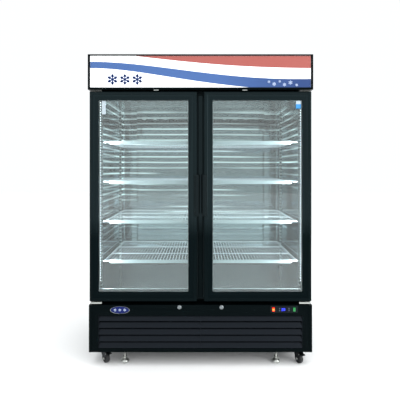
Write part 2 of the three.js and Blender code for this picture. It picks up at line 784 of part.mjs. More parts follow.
// The glass unit: two panes on a spacer, with the spacer's filling hole left open at the top.
const unitX = grown(doorX, -grooveInset - SEAM);
const unitZ = grown(doorZ, -grooveInset - SEAM);
showOnBothSides(
  "door_glass",
  glass,
  cut(
    block(unitX, [unitFront, unitBack], unitZ),
    block(grown(unitX, -SPACER), [unitFront + PANE, unitBack - PANE], grown(unitZ, -SPACER)),
    rod("z", 2.5, 2 * SPACER, [middle(unitX), (unitFront + unitBack) / 2, unitZ[1] - 1.5 * SPACER], 10),
  ),
);

const gasketEdge = GASKET_INSET + GASKET_WIDTH;
showOnBothSides(
  "door_gasket",
  gasketVinyl,
  mitredFrame(doorX, doorZ, [
    [GASKET_INSET, DOOR_BACK + SEAM],
    [gasketEdge, DOOR_BACK + SEAM],
    [gasketEdge, DOOR_BACK + 3],
    [gasketEdge - 3, BODY_FRONT - 3],
    [gasketEdge - 3, BODY_FRONT - SEAM],
    [GASKET_INSET + 3, BODY_FRONT - SEAM],
    [GASKET_INSET + 3, BODY_FRONT - 3],
    [GASKET_INSET, DOOR_BACK + 3],
  ]),
);

// The pull is a hooked section: its foot lies on the door's face, and its grip stands over the door's free
// edge with room for fingers behind it.
const handleOutline = new THREE.Shape();
const gripLeft = DOOR_INNER - HANDLE_OVERHANG;
const gripFace = DOOR_FRONT - HANDLE_PROUD;
const footRight = gripLeft + HANDLE_WIDTH;
handleOutline.moveTo(footRight, DOOR_FRONT - SEAM);
handleOutline.lineTo(footRight - HANDLE_WALL, DOOR_FRONT - SEAM);
handleOutline.lineTo(footRight - HANDLE_WALL, gripFace + HANDLE_WALL);
handleOutline.lineTo(gripLeft + HANDLE_WALL, gripFace + HANDLE_WALL);
handleOutline.lineTo(gripLeft + HANDLE_WALL, gripFace + HANDLE_HOOK);
handleOutline.lineTo(gripLeft, gripFace + HANDLE_HOOK);
handleOutline.lineTo(gripLeft, gripFace + HANDLE_ROUND);
handleOutline.quadraticCurveTo(gripLeft, gripFace, gripLeft + HANDLE_ROUND, gripFace);
handleOutline.lineTo(footRight - HANDLE_ROUND, gripFace);
handleOutline.quadraticCurveTo(footRight, gripFace, footRight, gripFace + HANDLE_ROUND);
handleOutline.closePath();
showOnBothSides(
  "door_handle",
  blackPlastic,
  alongZ(handleOutline, [DOOR_BOTTOM + HANDLE_BASE, DOOR_BOTTOM + HANDLE_BASE + HANDLE_LENGTH]),
);

// ---------------------------------------------------------------- hinges

const hingeX = [PIVOT[0] - HINGE_LENGTH + 10, PIVOT[0] + 10];
const hingeY = [PIVOT[1] - HINGE_REACH, BODY_FRONT - SEAM];
const LEG = 16; // how far a bracket's leg runs up or down the body
const hinge = (plateLow, pinLow, legZ, lipZ) =>
  joined(
    block(hingeX, hingeY, [plateLow, plateLow + HINGE_PLATE]),
    block(hingeX, [hingeY[1] - HINGE_PLATE, hingeY[1]], legZ),
    block(hingeX, [hingeY[0], hingeY[0] + HINGE_PLATE], lipZ),
    rod("z", PIN_RADIUS, PIN_LENGTH, [...PIVOT, pinLow], 24),
  );
const lowerPlate = DOOR_BOTTOM - 5;
const upperPlate = DOOR_TOP + 2 + HINGE_PLATE;
showOnBothSides(
  "hinge_lower",
  zinc,
  hinge(
    lowerPlate - HINGE_PLATE,
    lowerPlate + 1 - HINGE_PLATE,
    [lowerPlate - HINGE_PLATE, lowerPlate + LEG - HINGE_PLATE],
    [lowerPlate - HINGE_LIP, lowerPlate],
  ),
);
showOnBothSides(
  "hinge_upper",
  zinc,
  hinge(
    upperPlate - HINGE_PLATE,
    upperPlate + 1 - HINGE_PLATE - PIN_LENGTH,
    [upperPlate - LEG, upperPlate],
    [upperPlate - HINGE_PLATE, upperPlate],
  ),
);

// ---------------------------------------------------------------- locks and controls

// A cam lock: a flanged barrel with a keyway, and a cam that turns up into the door's slot.
const camDirection = [LOCK_X - 7, LOCK_X + CAM_LENGTH];
showOnBothSides(
  "door_lock",
  chrome,
  cut(
    joined(
      rod("y", LOCK_RADIUS + 2, 3, [LOCK_X, DOOR_FRONT - SEAM - 3, LOCK_Z], 28),
      rod("y", LOCK_RADIUS, CAM_BACK + 1 + SEAM, [LOCK_X, DOOR_FRONT - SEAM - 1, LOCK_Z], 24),
      block(camDirection, camSpan, about(LOCK_Z, 7)),
    ),
    block(about(LOCK_X, 1), [DOOR_FRONT - 5, DOOR_FRONT + 4], about(LOCK_Z, 5)),
  ),
);

const BEZEL = 3;
const bezelFront = DOOR_FRONT - SEAM - BEZEL;
const [switchWidth, switchHeight] = SWITCH_SIZE;
const switchX = (name) => CONTROL.x + SWITCH_OFFSET[name];
const switchWell = (name) =>
  block(
    about(switchX(name), switchWidth / 2 + 1),
    [bezelFront - 1, DOOR_FRONT + 16],
    about(CONTROL.z, switchHeight / 2 + 2),
  );
show(
  "control_panel",
  blackPlastic,
  cut(
    joined(
      block(controlX, [bezelFront, DOOR_FRONT - SEAM], controlZ),
      block(grown(controlX, -CONTROL_FLANGE - SEAM), [bezelFront + 1, DOOR_FRONT + 34], grown(controlZ, -CONTROL_FLANGE - SEAM)),
      block(about(CONTROL.x, 35), [bezelFront - 2, bezelFront + 1], about(CONTROL.z, 16)),
    ),
    switchWell("light"),
    switchWell("power"),
  ),
);

// A rocker about X with its lower half pressed in: it rocks the other way by 2 x ROCK.
const ROCK = 0.14;
const switchPivotY = bezelFront + 7;
function rockerSolid() {
  const half = switchHeight / 2;
  return alongX(
    [
      [-9, -half],
      [2, -half + 3],
      [4, 0],
      [2, half - 3],
      [-9, half],
      [-6.5, 0],
    ],
    about(0, switchWidth / 2),
  );
}
for (const [name, material] of [
  ["light", redLens],
  ["power", greenLens],
]) {
  const rocker = show(`${name}_switch`, material, rockerSolid());
  rocker.position.set(switchX(name), switchPivotY, CONTROL.z);
  rocker.rotation.x = ROCK;
}

// ---------------------------------------------------------------- casters and levelling feet

const FORK_WALL = 3;
const forkHalf = WHEEL_WIDTH / 2 + 1.5;
const forkTop = CHASSIS_CLEARANCE - SEAM;
const HEAD = 12;

const BRAKE_PIN = 2.5;
const PEDAL_BLOCK = [-5, 9]; // from its pin towards the wheel and away from it
const BRAKE_REACH = 17; // axle to the pedal's pin
const BRAKE_CLEARANCE = 0.5; // wheel to the pedal's nearest corner
const cornerRun = BRAKE_REACH + PEDAL_BLOCK[0];
const cornerRise = Math.sqrt((WHEEL_RADIUS + BRAKE_CLEARANCE) ** 2 - cornerRun ** 2);
const BRAKE_PIVOT = [CASTER_TRAIL + BRAKE_REACH, WHEEL_RADIUS + cornerRise - PEDAL_BLOCK[0]];

// A fork that trails its wheel in +Y, with the swivel on the origin's Z axis and the axle along X. The
// braked ones have cheeks that reach back to a pin for the pedal.
function forkSolid(braked) {
  const [pinY, pinZ] = BRAKE_PIVOT;
  const ears = [
    [pinY + 7, pinZ - 6],
    [pinY + 7, pinZ + 7],
  ];
  const cheek = (x) =>
    alongX(
      [
        [-18, forkTop - HEAD + 1],
        [CASTER_TRAIL - 9, WHEEL_RADIUS - 8],
        [CASTER_TRAIL + 9, WHEEL_RADIUS - 8],
        [CASTER_TRAIL + 12, WHEEL_RADIUS + 6],
        ...(braked ? ears : []),
        [20, forkTop - HEAD + 1],
      ],
      x,
    );
  const across = (radius, y, z, beyond, sides) => {
    const half = forkHalf + FORK_WALL + beyond;
    return rod("x", radius, 2 * half, [-half, y, z], sides);
  };
  const parts = [
    rod("z", 19, HEAD, [0, 0, forkTop - HEAD], 24),
    block(about(0, forkHalf + FORK_WALL), [-18, 20], [forkTop - HEAD - 3, forkTop - HEAD + 2]),
    cheek([forkHalf, forkHalf + FORK_WALL]),
    cheek([-forkHalf - FORK_WALL, -forkHalf]),
    across(AXLE_RADIUS, CASTER_TRAIL, WHEEL_RADIUS, 2, 16),
  ];
  if (braked) parts.push(across(BRAKE_PIN, pinY, pinZ, 1, 12));
  return joined(...parts);
}

// A wheel about X, standing on the middle of one of its flats.
const WHEEL_SIDES = 24;
function wheelSolid() {
  const tread = WHEEL_RADIUS / Math.cos(Math.PI / WHEEL_SIDES);
  const half = WHEEL_WIDTH / 2;
  const outline = [
    [AXLE_RADIUS + 0.4, -half],
    [tread - 10, -half + 2],
    [tread - 3, -half],
    [tread, -half + 3],
    [tread, half - 3],
    [tread - 3, half],
    [tread - 10, half - 2],
    [AXLE_RADIUS + 0.4, half],
  ];
  const profile = [...outline, outline[0]].map(([r, along]) => new THREE.Vector2(r, along));
  const lathe = new THREE.LatheGeometry(profile, WHEEL_SIDES);
  lathe.rotateY(Math.PI / WHEEL_SIDES);
  return solidOf(lathe.rotateZ(-Math.PI / 2));
}

// A brake pedal on the fork's pin: its arm lies between the cheeks and its pad stands out behind them.
function brakeSolid() {
  const [pinY, pinZ] = BRAKE_PIVOT;
  return cut(
    joined(
      block(
        about(0, forkHalf - SEAM),
        [pinY + PEDAL_BLOCK[0], pinY + PEDAL_BLOCK[1]],
        about(pinZ, -PEDAL_BLOCK[0]),
      ),
      block(about(0, 14), [pinY + 7.5, pinY + 27], [pinZ + 1, pinZ + 4]),
    ),
    rod("x", BRAKE_PIN + 0.4, 40, [-20, pinY, pinZ], 12),
  );
}

const wheel = wheelSolid();
const brake = brakeSolid();
const casters = [
  { name: "front_left", x: -CASTER_X, y: frontCasterY, turn: -130, braked: true },
  { name: "front_right", x: CASTER_X, y: frontCasterY, turn: -155, braked: true },
  { name: "rear_left", x: -CASTER_X, y: rearCasterY, turn: -20, braked: false },
  { name: "rear_right", x: CASTER_X, y: rearCasterY, turn: 15, braked: false },
];
for (const { name, x, y, turn, braked } of casters) {
  const caster = new THREE.Group();
  caster.position.set(x, y, 0);
  caster.rotation.z = THREE.MathUtils.degToRad(turn);
  merchandiser.add(caster);
  show(`caster_fork_${name}`, zinc, forkSolid(braked), caster);
  show(`caster_wheel_${name}`, tyreRubber, wheel, caster).position.set(0, CASTER_TRAIL, WHEEL_RADIUS);
  if (braked) show(`caster_brake_${name}`, blackPlastic, brake, caster);
}

const FOOT_HEIGHT = 18;
const STEM_TOP = 40; // stem above the chassis's underside
for (const { side, half } of halves) {
  const foot = turned(
    [
      [0, 0],
      [FOOT_RADIUS - 3, 0],
      [FOOT_RADIUS, 3],
      [FOOT_RADIUS - 3, 8],
      [14, FOOT_HEIGHT - 4],
      [STEM_RADIUS + 4, FOOT_HEIGHT],
      [STEM_RADIUS + 4, FOOT_HEIGHT + 8],
      [STEM_RADIUS, FOOT_HEIGHT + 8],
      [STEM_RADIUS, CHASSIS_CLEARANCE - FOOT_LIFT + STEM_TOP],
      [0, CHASSIS_CLEARANCE - FOOT_LIFT + STEM_TOP],
    ],
    24,
  );
  show(`levelling_foot_${side}`, galvanised, foot, half).position.set(FOOT_X, footY, FOOT_LIFT);
}

export default merchandiser;
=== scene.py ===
"""A two-door glass merchandiser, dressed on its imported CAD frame. Shapes are worked out in millimetres and
put into the meshes in metres; +Z is up and the doors face -Y."""

import json

import bmesh
import bpy
import numpy as np
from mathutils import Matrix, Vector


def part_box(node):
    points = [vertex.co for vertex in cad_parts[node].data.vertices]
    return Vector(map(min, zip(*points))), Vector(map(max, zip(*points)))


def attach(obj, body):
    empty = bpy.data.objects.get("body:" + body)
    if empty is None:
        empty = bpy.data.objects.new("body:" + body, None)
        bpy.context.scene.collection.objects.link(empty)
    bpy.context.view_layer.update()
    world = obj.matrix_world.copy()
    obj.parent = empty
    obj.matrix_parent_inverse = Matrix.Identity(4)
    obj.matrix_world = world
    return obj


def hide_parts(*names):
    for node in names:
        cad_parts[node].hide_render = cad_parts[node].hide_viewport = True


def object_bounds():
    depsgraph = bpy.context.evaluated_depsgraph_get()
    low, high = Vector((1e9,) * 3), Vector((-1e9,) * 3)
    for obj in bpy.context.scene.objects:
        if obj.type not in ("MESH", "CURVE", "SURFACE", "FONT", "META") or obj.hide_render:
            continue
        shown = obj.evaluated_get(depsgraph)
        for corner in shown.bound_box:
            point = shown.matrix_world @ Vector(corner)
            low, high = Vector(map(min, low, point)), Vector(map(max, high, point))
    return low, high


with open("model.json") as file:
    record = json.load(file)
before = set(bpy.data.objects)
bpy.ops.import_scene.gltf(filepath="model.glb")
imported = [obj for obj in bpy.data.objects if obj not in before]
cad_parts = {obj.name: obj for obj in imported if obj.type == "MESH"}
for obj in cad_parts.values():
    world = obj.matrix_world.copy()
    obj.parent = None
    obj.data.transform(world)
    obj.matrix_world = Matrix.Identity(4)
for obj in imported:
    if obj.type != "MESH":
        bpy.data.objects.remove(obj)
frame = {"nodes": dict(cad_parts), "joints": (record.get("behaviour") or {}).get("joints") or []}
cad_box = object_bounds()

# ---------------------------------------------------------------- camera and light

CAMERA_AT = (0.0, -2.480, 1.2327)
LENS = 30.56
SHIFT = (-0.00125, -0.080)

camera_data = bpy.data.cameras.new("camera")
camera_data.lens = LENS
camera_data.sensor_width = 36
camera_data.shift_x, camera_data.shift_y = SHIFT
camera = bpy.data.objects.new("camera", camera_data)
camera.location = CAMERA_AT
camera.rotation_euler = (np.radians(90), 0, 0)
bpy.context.scene.collection.objects.link(camera)
bpy.context.scene.camera = camera
bpy.context.scene.view_settings.view_transform = "Standard"


def linear(code):
    """A colour written as sRGB hex, turned to the linear RGBA that shaders take: each channel c becomes
    c/12.92 up to 0.04045 and ((c + 0.055)/1.055)**2.4 above it."""
    channels = np.array([int(code[i : i + 2], 16) for i in (1, 3, 5)]) / 255
    low, high = channels / 12.92, ((channels + 0.055) / 1.055) ** 2.4
    return (*np.where(channels <= 0.04045, low, high).tolist(), 1.0)


def add(tree, kind, links=None, **settings):
    """Adds a node. Settings are its own properties; links gives each socket a value or another socket."""
    made = tree.nodes.new(kind)
    for name, value in settings.items():
        setattr(made, name, value)
    for socket, value in (links or {}).items():
        if isinstance(value, bpy.types.NodeSocket):
            tree.links.new(value, made.inputs[socket])
        else:
            made.inputs[socket].default_value = value
    return made


world = bpy.data.worlds.new("studio")
world.use_nodes = True
sky = world.node_tree
sky.nodes.clear()
direction = add(sky, "ShaderNodeTexCoord")
height = add(sky, "ShaderNodeSeparateXYZ", {0: direction.outputs["Generated"]})
above = add(sky, "ShaderNodeMapRange", {0: height.outputs[2], 1: 0.2, 2: 0.7, 3: 0.62, 4: 1.4})
behind = add(sky, "ShaderNodeMapRange", {0: height.outputs[1], 1: -0.2, 2: 0.3})
level = add(sky, "ShaderNodeMix", {0: behind.outputs[0], 2: above.outputs[0], 3: 1.06})
backdrop = add(sky, "ShaderNodeBackground", {"Color": linear("#f8fafb"), "Strength": level.outputs[0]})
add(sky, "ShaderNodeOutputWorld", {0: backdrop.outputs[0]})
bpy.context.scene.world = world

for name, place, turn, size, power in (
    ("strip_left", (-0.630, -0.325, 1.07), (90, 0, -70), (0.012, 1.15), 9),
    ("strip_right", (0.630, -0.325, 1.07), (90, 0, 70), (0.012, 1.15), 9),
    ("liner_bounce", (0.0, 0.28, 1.07), (-90, 0, 0), (1.15, 1.2), 6),
    ("softbox_front", (0.0, -3.6, 1.72), (90, 0, 0), (4.4, 2.7), 22),
    ("softbox_top", (0.0, -1.3, 3.3), (18, 0, 0), (3.0, 1.6), 34),
    ("softbox_left", (-2.6, -2.6, 1.9), (78, 0, -44), (1.4, 2.2), 6),
    ("softbox_right", (2.8, -2.2, 1.7), (80, 0, 52), (1.4, 2.2), 50),
    ("softbox_back", (0.6, 3.0, 2.4), (-66, 0, 0), (2.4, 1.6), 22),
):
    lamp = bpy.data.lights.new(name, "AREA")
    lamp.shape = "RECTANGLE"
    lamp.size, lamp.size_y = size
    lamp.energy = power
    holder = bpy.data.objects.new(name, lamp)
    holder.location = place
    holder.rotation_euler = np.radians(turn)
    holder.visible_camera = False
    holder.visible_glossy = name.startswith("softbox")
    bpy.context.scene.collection.objects.link(holder)

# ---------------------------------------------------------------- shapes, as (points, faces) in millimetres


def boxes(corners):
    """Boxes from their low and high corners, an N x 2 x 3 array: each takes every mix of the two corners."""
    corners = np.asarray(corners, float).reshape(-1, 2, 3)
    pick = np.array([[i >> 2 & 1, i >> 1 & 1, i & 1] for i in range(8)])
    points = corners[:, pick, np.arange(3)].reshape(-1, 3)
    sides = np.array([[0, 1, 3, 2], [4, 6, 7, 5], [0, 4, 5, 1], [2, 3, 7, 6], [0, 2, 6, 4], [1, 5, 7, 3]])
    return points, (sides + 8 * np.arange(len(corners))[:, None, None]).reshape(-1, 4).tolist()


def loft(loops, closed=False):
    """A skin over loops of points, an M x N x 3 array: neighbours on the grid are joined by quads, and the
    first and last loops are capped, or joined to each other when closed."""
    loops = np.asarray(loops, float)
    count, size = loops.shape[:2]
    row = np.arange(count if closed else count - 1)[:, None]
    column = np.arange(size)
    after, beside = (row + 1) % count, (column + 1) % size
    quads = np.stack(
        [row * size + column, row * size + beside, after * size + beside, after * size + column], -1
    ).reshape(-1, 4)
    faces = quads.tolist()
    if not closed:
        faces += [list(range(size))[::-1], list(range((count - 1) * size, count * size))]
    return loops.reshape(-1, 3), faces


def prism(outline, axis, span):
    """An outline of [u, v] points carried along an axis: u and v are the two other coordinates, in X, Y, Z
    order."""
    outline = np.asarray(outline, float)
    loops = np.stack([np.insert(outline, axis, end, axis=1) for end in span])
    return loft(loops)


def mitred(x, z, outline, share=(1, 1, 1, 1)):
    """An outline of [inset, y] points carried round a rectangle in the XZ plane, with a mitre at each corner.
    share scales the inset on the left, right, bottom and top."""
    inset, depth = np.asarray(outline, float).T
    left, right, low, high = share
    corners = [
        (x[0], z[0], left, low),
        (x[1], z[0], -right, low),
        (x[1], z[1], -right, -high),
        (x[0], z[1], left, -high),
    ]
    loops = [np.stack([cx + dx * inset, depth, cz + dz * inset], 1) for cx, cz, dx, dz in corners]
    return loft(np.stack(loops), closed=True)


def turned(profile, axis, at, steps=48, closed=False, stretch=(1, 1)):
    """A profile of [radius, along] points turned about an axis through a point. stretch scales the radius on
    the two other axes, which makes an oval."""
    radius, along = np.asarray(profile, float).T
    angle = np.arange(steps) * 2 * np.pi / steps
    flat = np.stack(
        [np.outer(radius, np.cos(angle)) * stretch[0], np.outer(radius, np.sin(angle)) * stretch[1]], -1
    )
    loops = np.insert(flat, axis, along[:, None], axis=2) + np.asarray(at, float)
    return loft(loops, closed)


def rods(starts, ends, radius, sides=8):
    """Round rods between N pairs of points: each ring is its point plus radius times a turning pair of
    vectors square to the rod."""
    starts, ends = (np.asarray(p, float).reshape(-1, 3) for p in (starts, ends))
    way = ends - starts
    way /= np.linalg.norm(way, axis=1, keepdims=True)
    helper = np.where(np.abs(way[:, 2:]) > 0.9, [[1.0, 0, 0]], [[0, 0, 1.0]])
    across = np.cross(way, helper)
    across /= np.linalg.norm(across, axis=1, keepdims=True)
    third = np.cross(way, across)
    angle = np.arange(sides) * 2 * np.pi / sides
    ring = radius * (across[:, None] * np.cos(angle)[:, None] + third[:, None] * np.sin(angle)[:, None])
    points = np.stack([starts[:, None] + ring, ends[:, None] + ring], 1).reshape(-1, 3)
    lower = np.arange(sides)
    upper = (lower + 1) % sides
    walls = np.stack([lower, upper, upper + sides, lower + sides], 1)
    base = 2 * sides * np.arange(len(starts))[:, None, None]
    faces = (walls + base).reshape(-1, 4).tolist()
    caps = np.stack([lower[::-1], lower + sides]) + base
    return points, faces + caps.reshape(-1, sides).tolist()


def strokes(segments, width, y):
    """Flat bars in the XZ plane along [x1, z1, x2, z2] segments: each end moves half a width sideways, and
    the bar is as deep as the y span."""
    ends = np.asarray(segments, float).reshape(-1, 2, 2)
    way = ends[:, 1] - ends[:, 0]
    way /= np.linalg.norm(way, axis=1, keepdims=True)
    side = np.stack([-way[:, 1], way[:, 0]], 1)[:, None] * width / 2
    loop = np.concatenate([ends - side, (ends + side)[:, ::-1]], 1)
    made = [loft(np.stack([np.insert(one, 1, depth, axis=1) for depth in y])) for one in loop]
    return merged(made)


def merged(shapes):
    """Several shapes as one, each with its face numbers moved past the points before it."""
    points, faces, offset = [], [], 0
    for some_points, some_faces in shapes:
        points.append(some_points)
        faces += [[i + offset for i in face] for face in some_faces]
        offset += len(some_points)
    return np.concatenate(points), faces


def moved(shape, turn=0.0, at=(0, 0, 0), mirror=False):
    """A shape mirrored across the middle plane if asked, turned about Z by degrees, and then moved."""
    points, faces = shape
    points = points * [-1, 1, 1] if mirror else points
    c, s = np.cos(np.radians(turn)), np.sin(np.radians(turn))
    return points @ np.array([[c, s, 0], [-s, c, 0], [0, 0, 1]]) + np.asarray(at), faces


def rounded(low, high, radius, steps=4):
    """A rectangle outline with round corners: a quarter circle about each corner's centre, each a quarter
    turn on from the last."""
    (x0, y0), (x1, y1) = np.add(low, radius), np.subtract(high, radius)
    centres = np.array([[x1, y1], [x0, y1], [x0, y0], [x1, y0]])
    angle = np.linspace(0, np.pi / 2, steps + 1) + np.pi / 2 * np.arange(4)[:, None]
    arcs = centres[:, None] + radius * np.stack([np.cos(angle), np.sin(angle)], -1)
    return arcs.reshape(-1, 2)


def closed_object(name, shapes):
    """An object at the origin whose mesh, in metres, is one or more closed shapes with outward faces."""
    points, faces = merged(shapes)
    mesh = bpy.data.meshes.new(name)
    mesh.from_pydata((points / 1000).tolist(), [], faces)
    skin = bmesh.new()
    skin.from_mesh(mesh)
    bmesh.ops.recalc_face_normals(skin, faces=skin.faces)
    skin.to_mesh(mesh)
    skin.free()
    made = bpy.data.objects.new(name, mesh)
    bpy.context.scene.collection.objects.link(made)
    return made


def cut_away(made, shapes):
    """Takes closed shapes away from an object's mesh."""
    tool = closed_object(made.name + "_cut", shapes)
    boolean = made.modifiers.new("cut", "BOOLEAN")
    boolean.operation = "DIFFERENCE"
    boolean.solver = "EXACT"
    boolean.object = tool
    bpy.context.view_layer.update()
    mesh = bpy.data.meshes.new_from_object(made.evaluated_get(bpy.context.evaluated_depsgraph_get()))
    made.modifiers.clear()
    made.data = mesh
    bpy.data.objects.remove(tool)


def piece(
    name,
    shapes,
    material,
    body,
    stands_for=(),
    slot=None,
    bevel=0.0,
    crease=32,
    cut=(),
    mirror=False,
    yaw=0.0,
    at=(0, 0, 0),
):
    """A piece that rides on a body. Its shapes and cuts are placed by mirror, yaw and at. It may stand for
    CAD nodes, and have edges rounded by bevel millimetres where they turn by more than crease degrees."""
    shapes = shapes if isinstance(shapes, list) else [shapes]
    made = closed_object(name, [moved(shape, yaw, at, mirror) for shape in shapes])
    if cut:
        cut_away(made, [moved(shape, yaw, at, mirror) for shape in cut])
    mesh = made.data
    mesh.materials.clear()
    mesh.materials.append(material)
    mesh.shade_smooth()
    mesh.set_sharp_from_angle(angle=np.radians(crease))
    if bevel:
        edges = made.modifiers.new("edges", "BEVEL")
        edges.width = bevel / 1000
        edges.segments = 2
        edges.limit_method = "ANGLE"
        edges.angle_limit = np.radians(crease)
        edges.harden_normals = True
    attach(made, body)
    if stands_for:
        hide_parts(*stands_for)
    return made


def dress(material, *nodes):
    """Gives CAD nodes that keep their shape a material."""
    for node in nodes:
        mesh = frame["nodes"][node].data
        mesh.materials.clear()
        mesh.materials.append(material)


def low_high(node):
    """A CAD node's box in millimetres."""
    low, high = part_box(node)
    return np.array(low) * 1000, np.array(high) * 1000


# ---------------------------------------------------------------- materials


def surface(name, colour, roughness, **sockets):
    """A material with one Principled shader. Constants go on the shader's own sockets."""
    made = bpy.data.materials.new(name)
    made.use_nodes = True
    tree = made.node_tree
    tree.nodes.clear()
    plain = {"Base Color": linear(colour), "Roughness": roughness}
    shader = add(tree, "ShaderNodeBsdfPrincipled", {**plain, **sockets})
    add(tree, "ShaderNodeOutputMaterial", {0: shader.outputs[0]})
    place = add(tree, "ShaderNodeTexCoord")
    return made, tree, shader, place.outputs["Object"]


def grain(tree, shader, place, scale, strength, distance, stretch=(1, 1, 1), detail=3.0):
    """Fine relief: noise at scale cycles per metre, drawn out along an axis by stretch, taken as height."""
    spread = add(tree, "ShaderNodeMapping", {"Vector": place, "Scale": stretch})
    noise = add(tree, "ShaderNodeTexNoise", {"Vector": spread.outputs[0], "Scale": scale, "Detail": detail})
    relief = {"Strength": strength, "Distance": distance, "Height": noise.outputs[0]}
    bump = add(tree, "ShaderNodeBump", relief)
    tree.links.new(bump.outputs[0], shader.inputs["Normal"])
    return noise.outputs[0]


def vary(tree, shader, noise, low, high):
    """Roughness that follows a noise from low to high."""
    spread = add(tree, "ShaderNodeMapRange", {0: noise, 1: 0.35, 2: 0.65, 3: low, 4: high})
    tree.links.new(spread.outputs[0], shader.inputs["Roughness"])


def finish(name, colour, roughness, relief, gloss, **sockets):
    """A surface with fine relief, given as grain takes it, and a roughness that follows it over gloss."""
    made, tree, shader, place = surface(name, colour, roughness, **sockets)
    vary(tree, shader, grain(tree, shader, place, *relief), *gloss)
    return made


def lit(colour, strength):
    """The shader's settings for a surface with a lamp behind it."""
    return {"Emission Color": linear(colour), "Emission Strength": strength}


def sheen(level, tint):
    """The shader's settings for a skin that reflects weakly and with a tint."""
    return {"Specular IOR Level": level, "Specular Tint": linear(tint)}


COOL_GREY = "#b4d6de"  # what the black skins reflect

# Black polyester powder coat on sheet steel, sprayed and baked: soft gloss with an orange peel of 2.5 mm.
powder_coat = finish(
    "powder_coated_steel", "#020506", 0.26, (400, 0.03, 0.0003), (0.24, 0.32), **sheen(0.07, COOL_GREY)
)

# The same coat on extruded aluminium, smoother because the extrusion is: it mirrors the room, and less so
# low down, where its reflection is painted weaker by height, standing in for the darker room it faces there.
door_coat, tree, shader, place = surface(
    "powder_coated_aluminium", "#03090b", 0.14, **{"Specular Tint": linear(COOL_GREY)}
)
reach = add(tree, "ShaderNodeSeparateXYZ", {0: place})
# Painted reflection: the reflection strength drops low down on the doors.
painted_reflection_by_height = add(tree, "ShaderNodeMapRange", {0: reach.outputs[2], 1: 0.8, 2: 0.92, 3: 0.08, 4: 0.3})
tree.links.new(painted_reflection_by_height.outputs[0], shader.inputs["Specular IOR Level"])
vary(tree, shader, grain(tree, shader, place, 260, 0.03, 0.0003), 0.13, 0.2)

# Moulded black ABS with a fine spark-eroded texture, drawn at 1.2 mm so that it shows.
black_abs = finish(
    "moulded_black_abs", "#060809", 0.42, (830, 0.12, 0.0003), (0.36, 0.5), **sheen(0.24, COOL_GREY)
)

# Moulded dark grey ABS of the louvres: a satin skin that greys where light grazes it.
grey_abs = finish(
    "moulded_grey_abs", "#080c11", 0.34, (620, 0.1, 0.0003), (0.32, 0.46), **sheen(0.2, "#cfdcec")
)

# Bright-annealed stainless sheet, rolled: it mirrors the shelves in soft shapes, because the sheet is wavy.
# Level streaks some 45 mm apart, in patches, are a painted highlight: a whiter colour and a faint emission
# stand in for the lamps' reflections. The painted highlight fades out below the lowest shelf as painted
# shade, where little light falls.
stainless, tree, shader, place = surface(
    "rolled_stainless", "#b9c0c0", 0.07, Metallic=1.0, **{"Emission Strength": 0.35}
)
lengthwise = add(tree, "ShaderNodeMapping", {"Vector": place, "Scale": (1.0, 1.0, 4.0)})
waves = add(tree, "ShaderNodeTexNoise", {"Vector": lengthwise.outputs[0], "Scale": 2.0, "Detail": 2.0})
waviness = add(tree, "ShaderNodeBump", {"Strength": 0.5, "Distance": 0.0025, "Height": waves.outputs[0]})
tree.links.new(waviness.outputs[0], shader.inputs["Normal"])
swerve = add(
    tree,
    "ShaderNodeTexWave",
    {"Vector": place, "Scale": 7.0, "Distortion": 2.2, "Detail": 2.0, "Detail Scale": 0.12},
    bands_direction="Z",
)
crest = add(tree, "ShaderNodeMapRange", {0: swerve.outputs[0], 1: 0.74, 2: 0.95})
patches = add(tree, "ShaderNodeTexNoise", {"Vector": lengthwise.outputs[0], "Scale": 1.1, "Detail": 1.0})
shown_where = add(tree, "ShaderNodeMapRange", {0: patches.outputs[0], 1: 0.39, 2: 0.5})
# Painted highlight: level streaks in patches, standing in for the lamps' reflections.
painted_highlight_streak = add(tree, "ShaderNodeMath", {0: crest.outputs[0], 1: shown_where.outputs[0]}, operation="MULTIPLY")
rise = add(tree, "ShaderNodeSeparateXYZ", {0: place})
# Painted shade: the painted highlight fades out lower down, where little light falls.
lit_height = add(tree, "ShaderNodeMapRange", {0: rise.outputs[2], 1: 0.66, 2: 0.92})
lit_parts = {0: painted_highlight_streak.outputs[0], 1: lit_height.outputs[0]}
painted_highlight_mask = add(tree, "ShaderNodeMath", lit_parts, operation="MULTIPLY")
# The painted highlight whitens the base colour and gives a faint emission where the mask is.
for socket, plain_tone, painted_highlight_tone in (
    ("Base Color", "#97a4a8", "#fbffff"),
    ("Emission Color", "#000000", "#dff0f2"),
):
    tones = {0: painted_highlight_mask.outputs[0], 6: linear(plain_tone), 7: linear(painted_highlight_tone)}
    painted_highlight_mix = add(tree, "ShaderNodeMix", tones, data_type="RGBA")
    tree.links.new(painted_highlight_mix.outputs[2], shader.inputs[socket])
vary(tree, shader, patches.outputs[0], 0.06, 0.1)

# The same sheet laid flat in the floor and ceiling, rougher, and darker there as painted shade.
shaded_flat_stainless = finish(
    "painted_shade_stainless", "#969d9d", 0.16, (14, 0.03, 0.0004, (0.3, 1, 1)), (0.13, 0.22), Metallic=1.0
)

# Galvanised steel: crystals of zinc about 9 mm across, each with its own dullness.
galvanised, tree, shader, place = surface("galvanised_steel", "#9fa5a6", 0.42, Metallic=1.0)
spangle = add(tree, "ShaderNodeTexVoronoi", {"Vector": place, "Scale": 110})
tint = add(tree, "ShaderNodeSeparateColor", {0: spangle.outputs["Color"]})
dull = add(tree, "ShaderNodeMapRange", {0: tint.outputs[0], 3: 0.34, 4: 0.55})
tree.links.new(dull.outputs[0], shader.inputs["Roughness"])
crystal_tones = {0: tint.outputs[0], 6: linear("#8e9496"), 7: linear("#b4b9ba")}
shades = add(tree, "ShaderNodeMix", crystal_tones, data_type="RGBA")
tree.links.new(shades.outputs[2], shader.inputs["Base Color"])

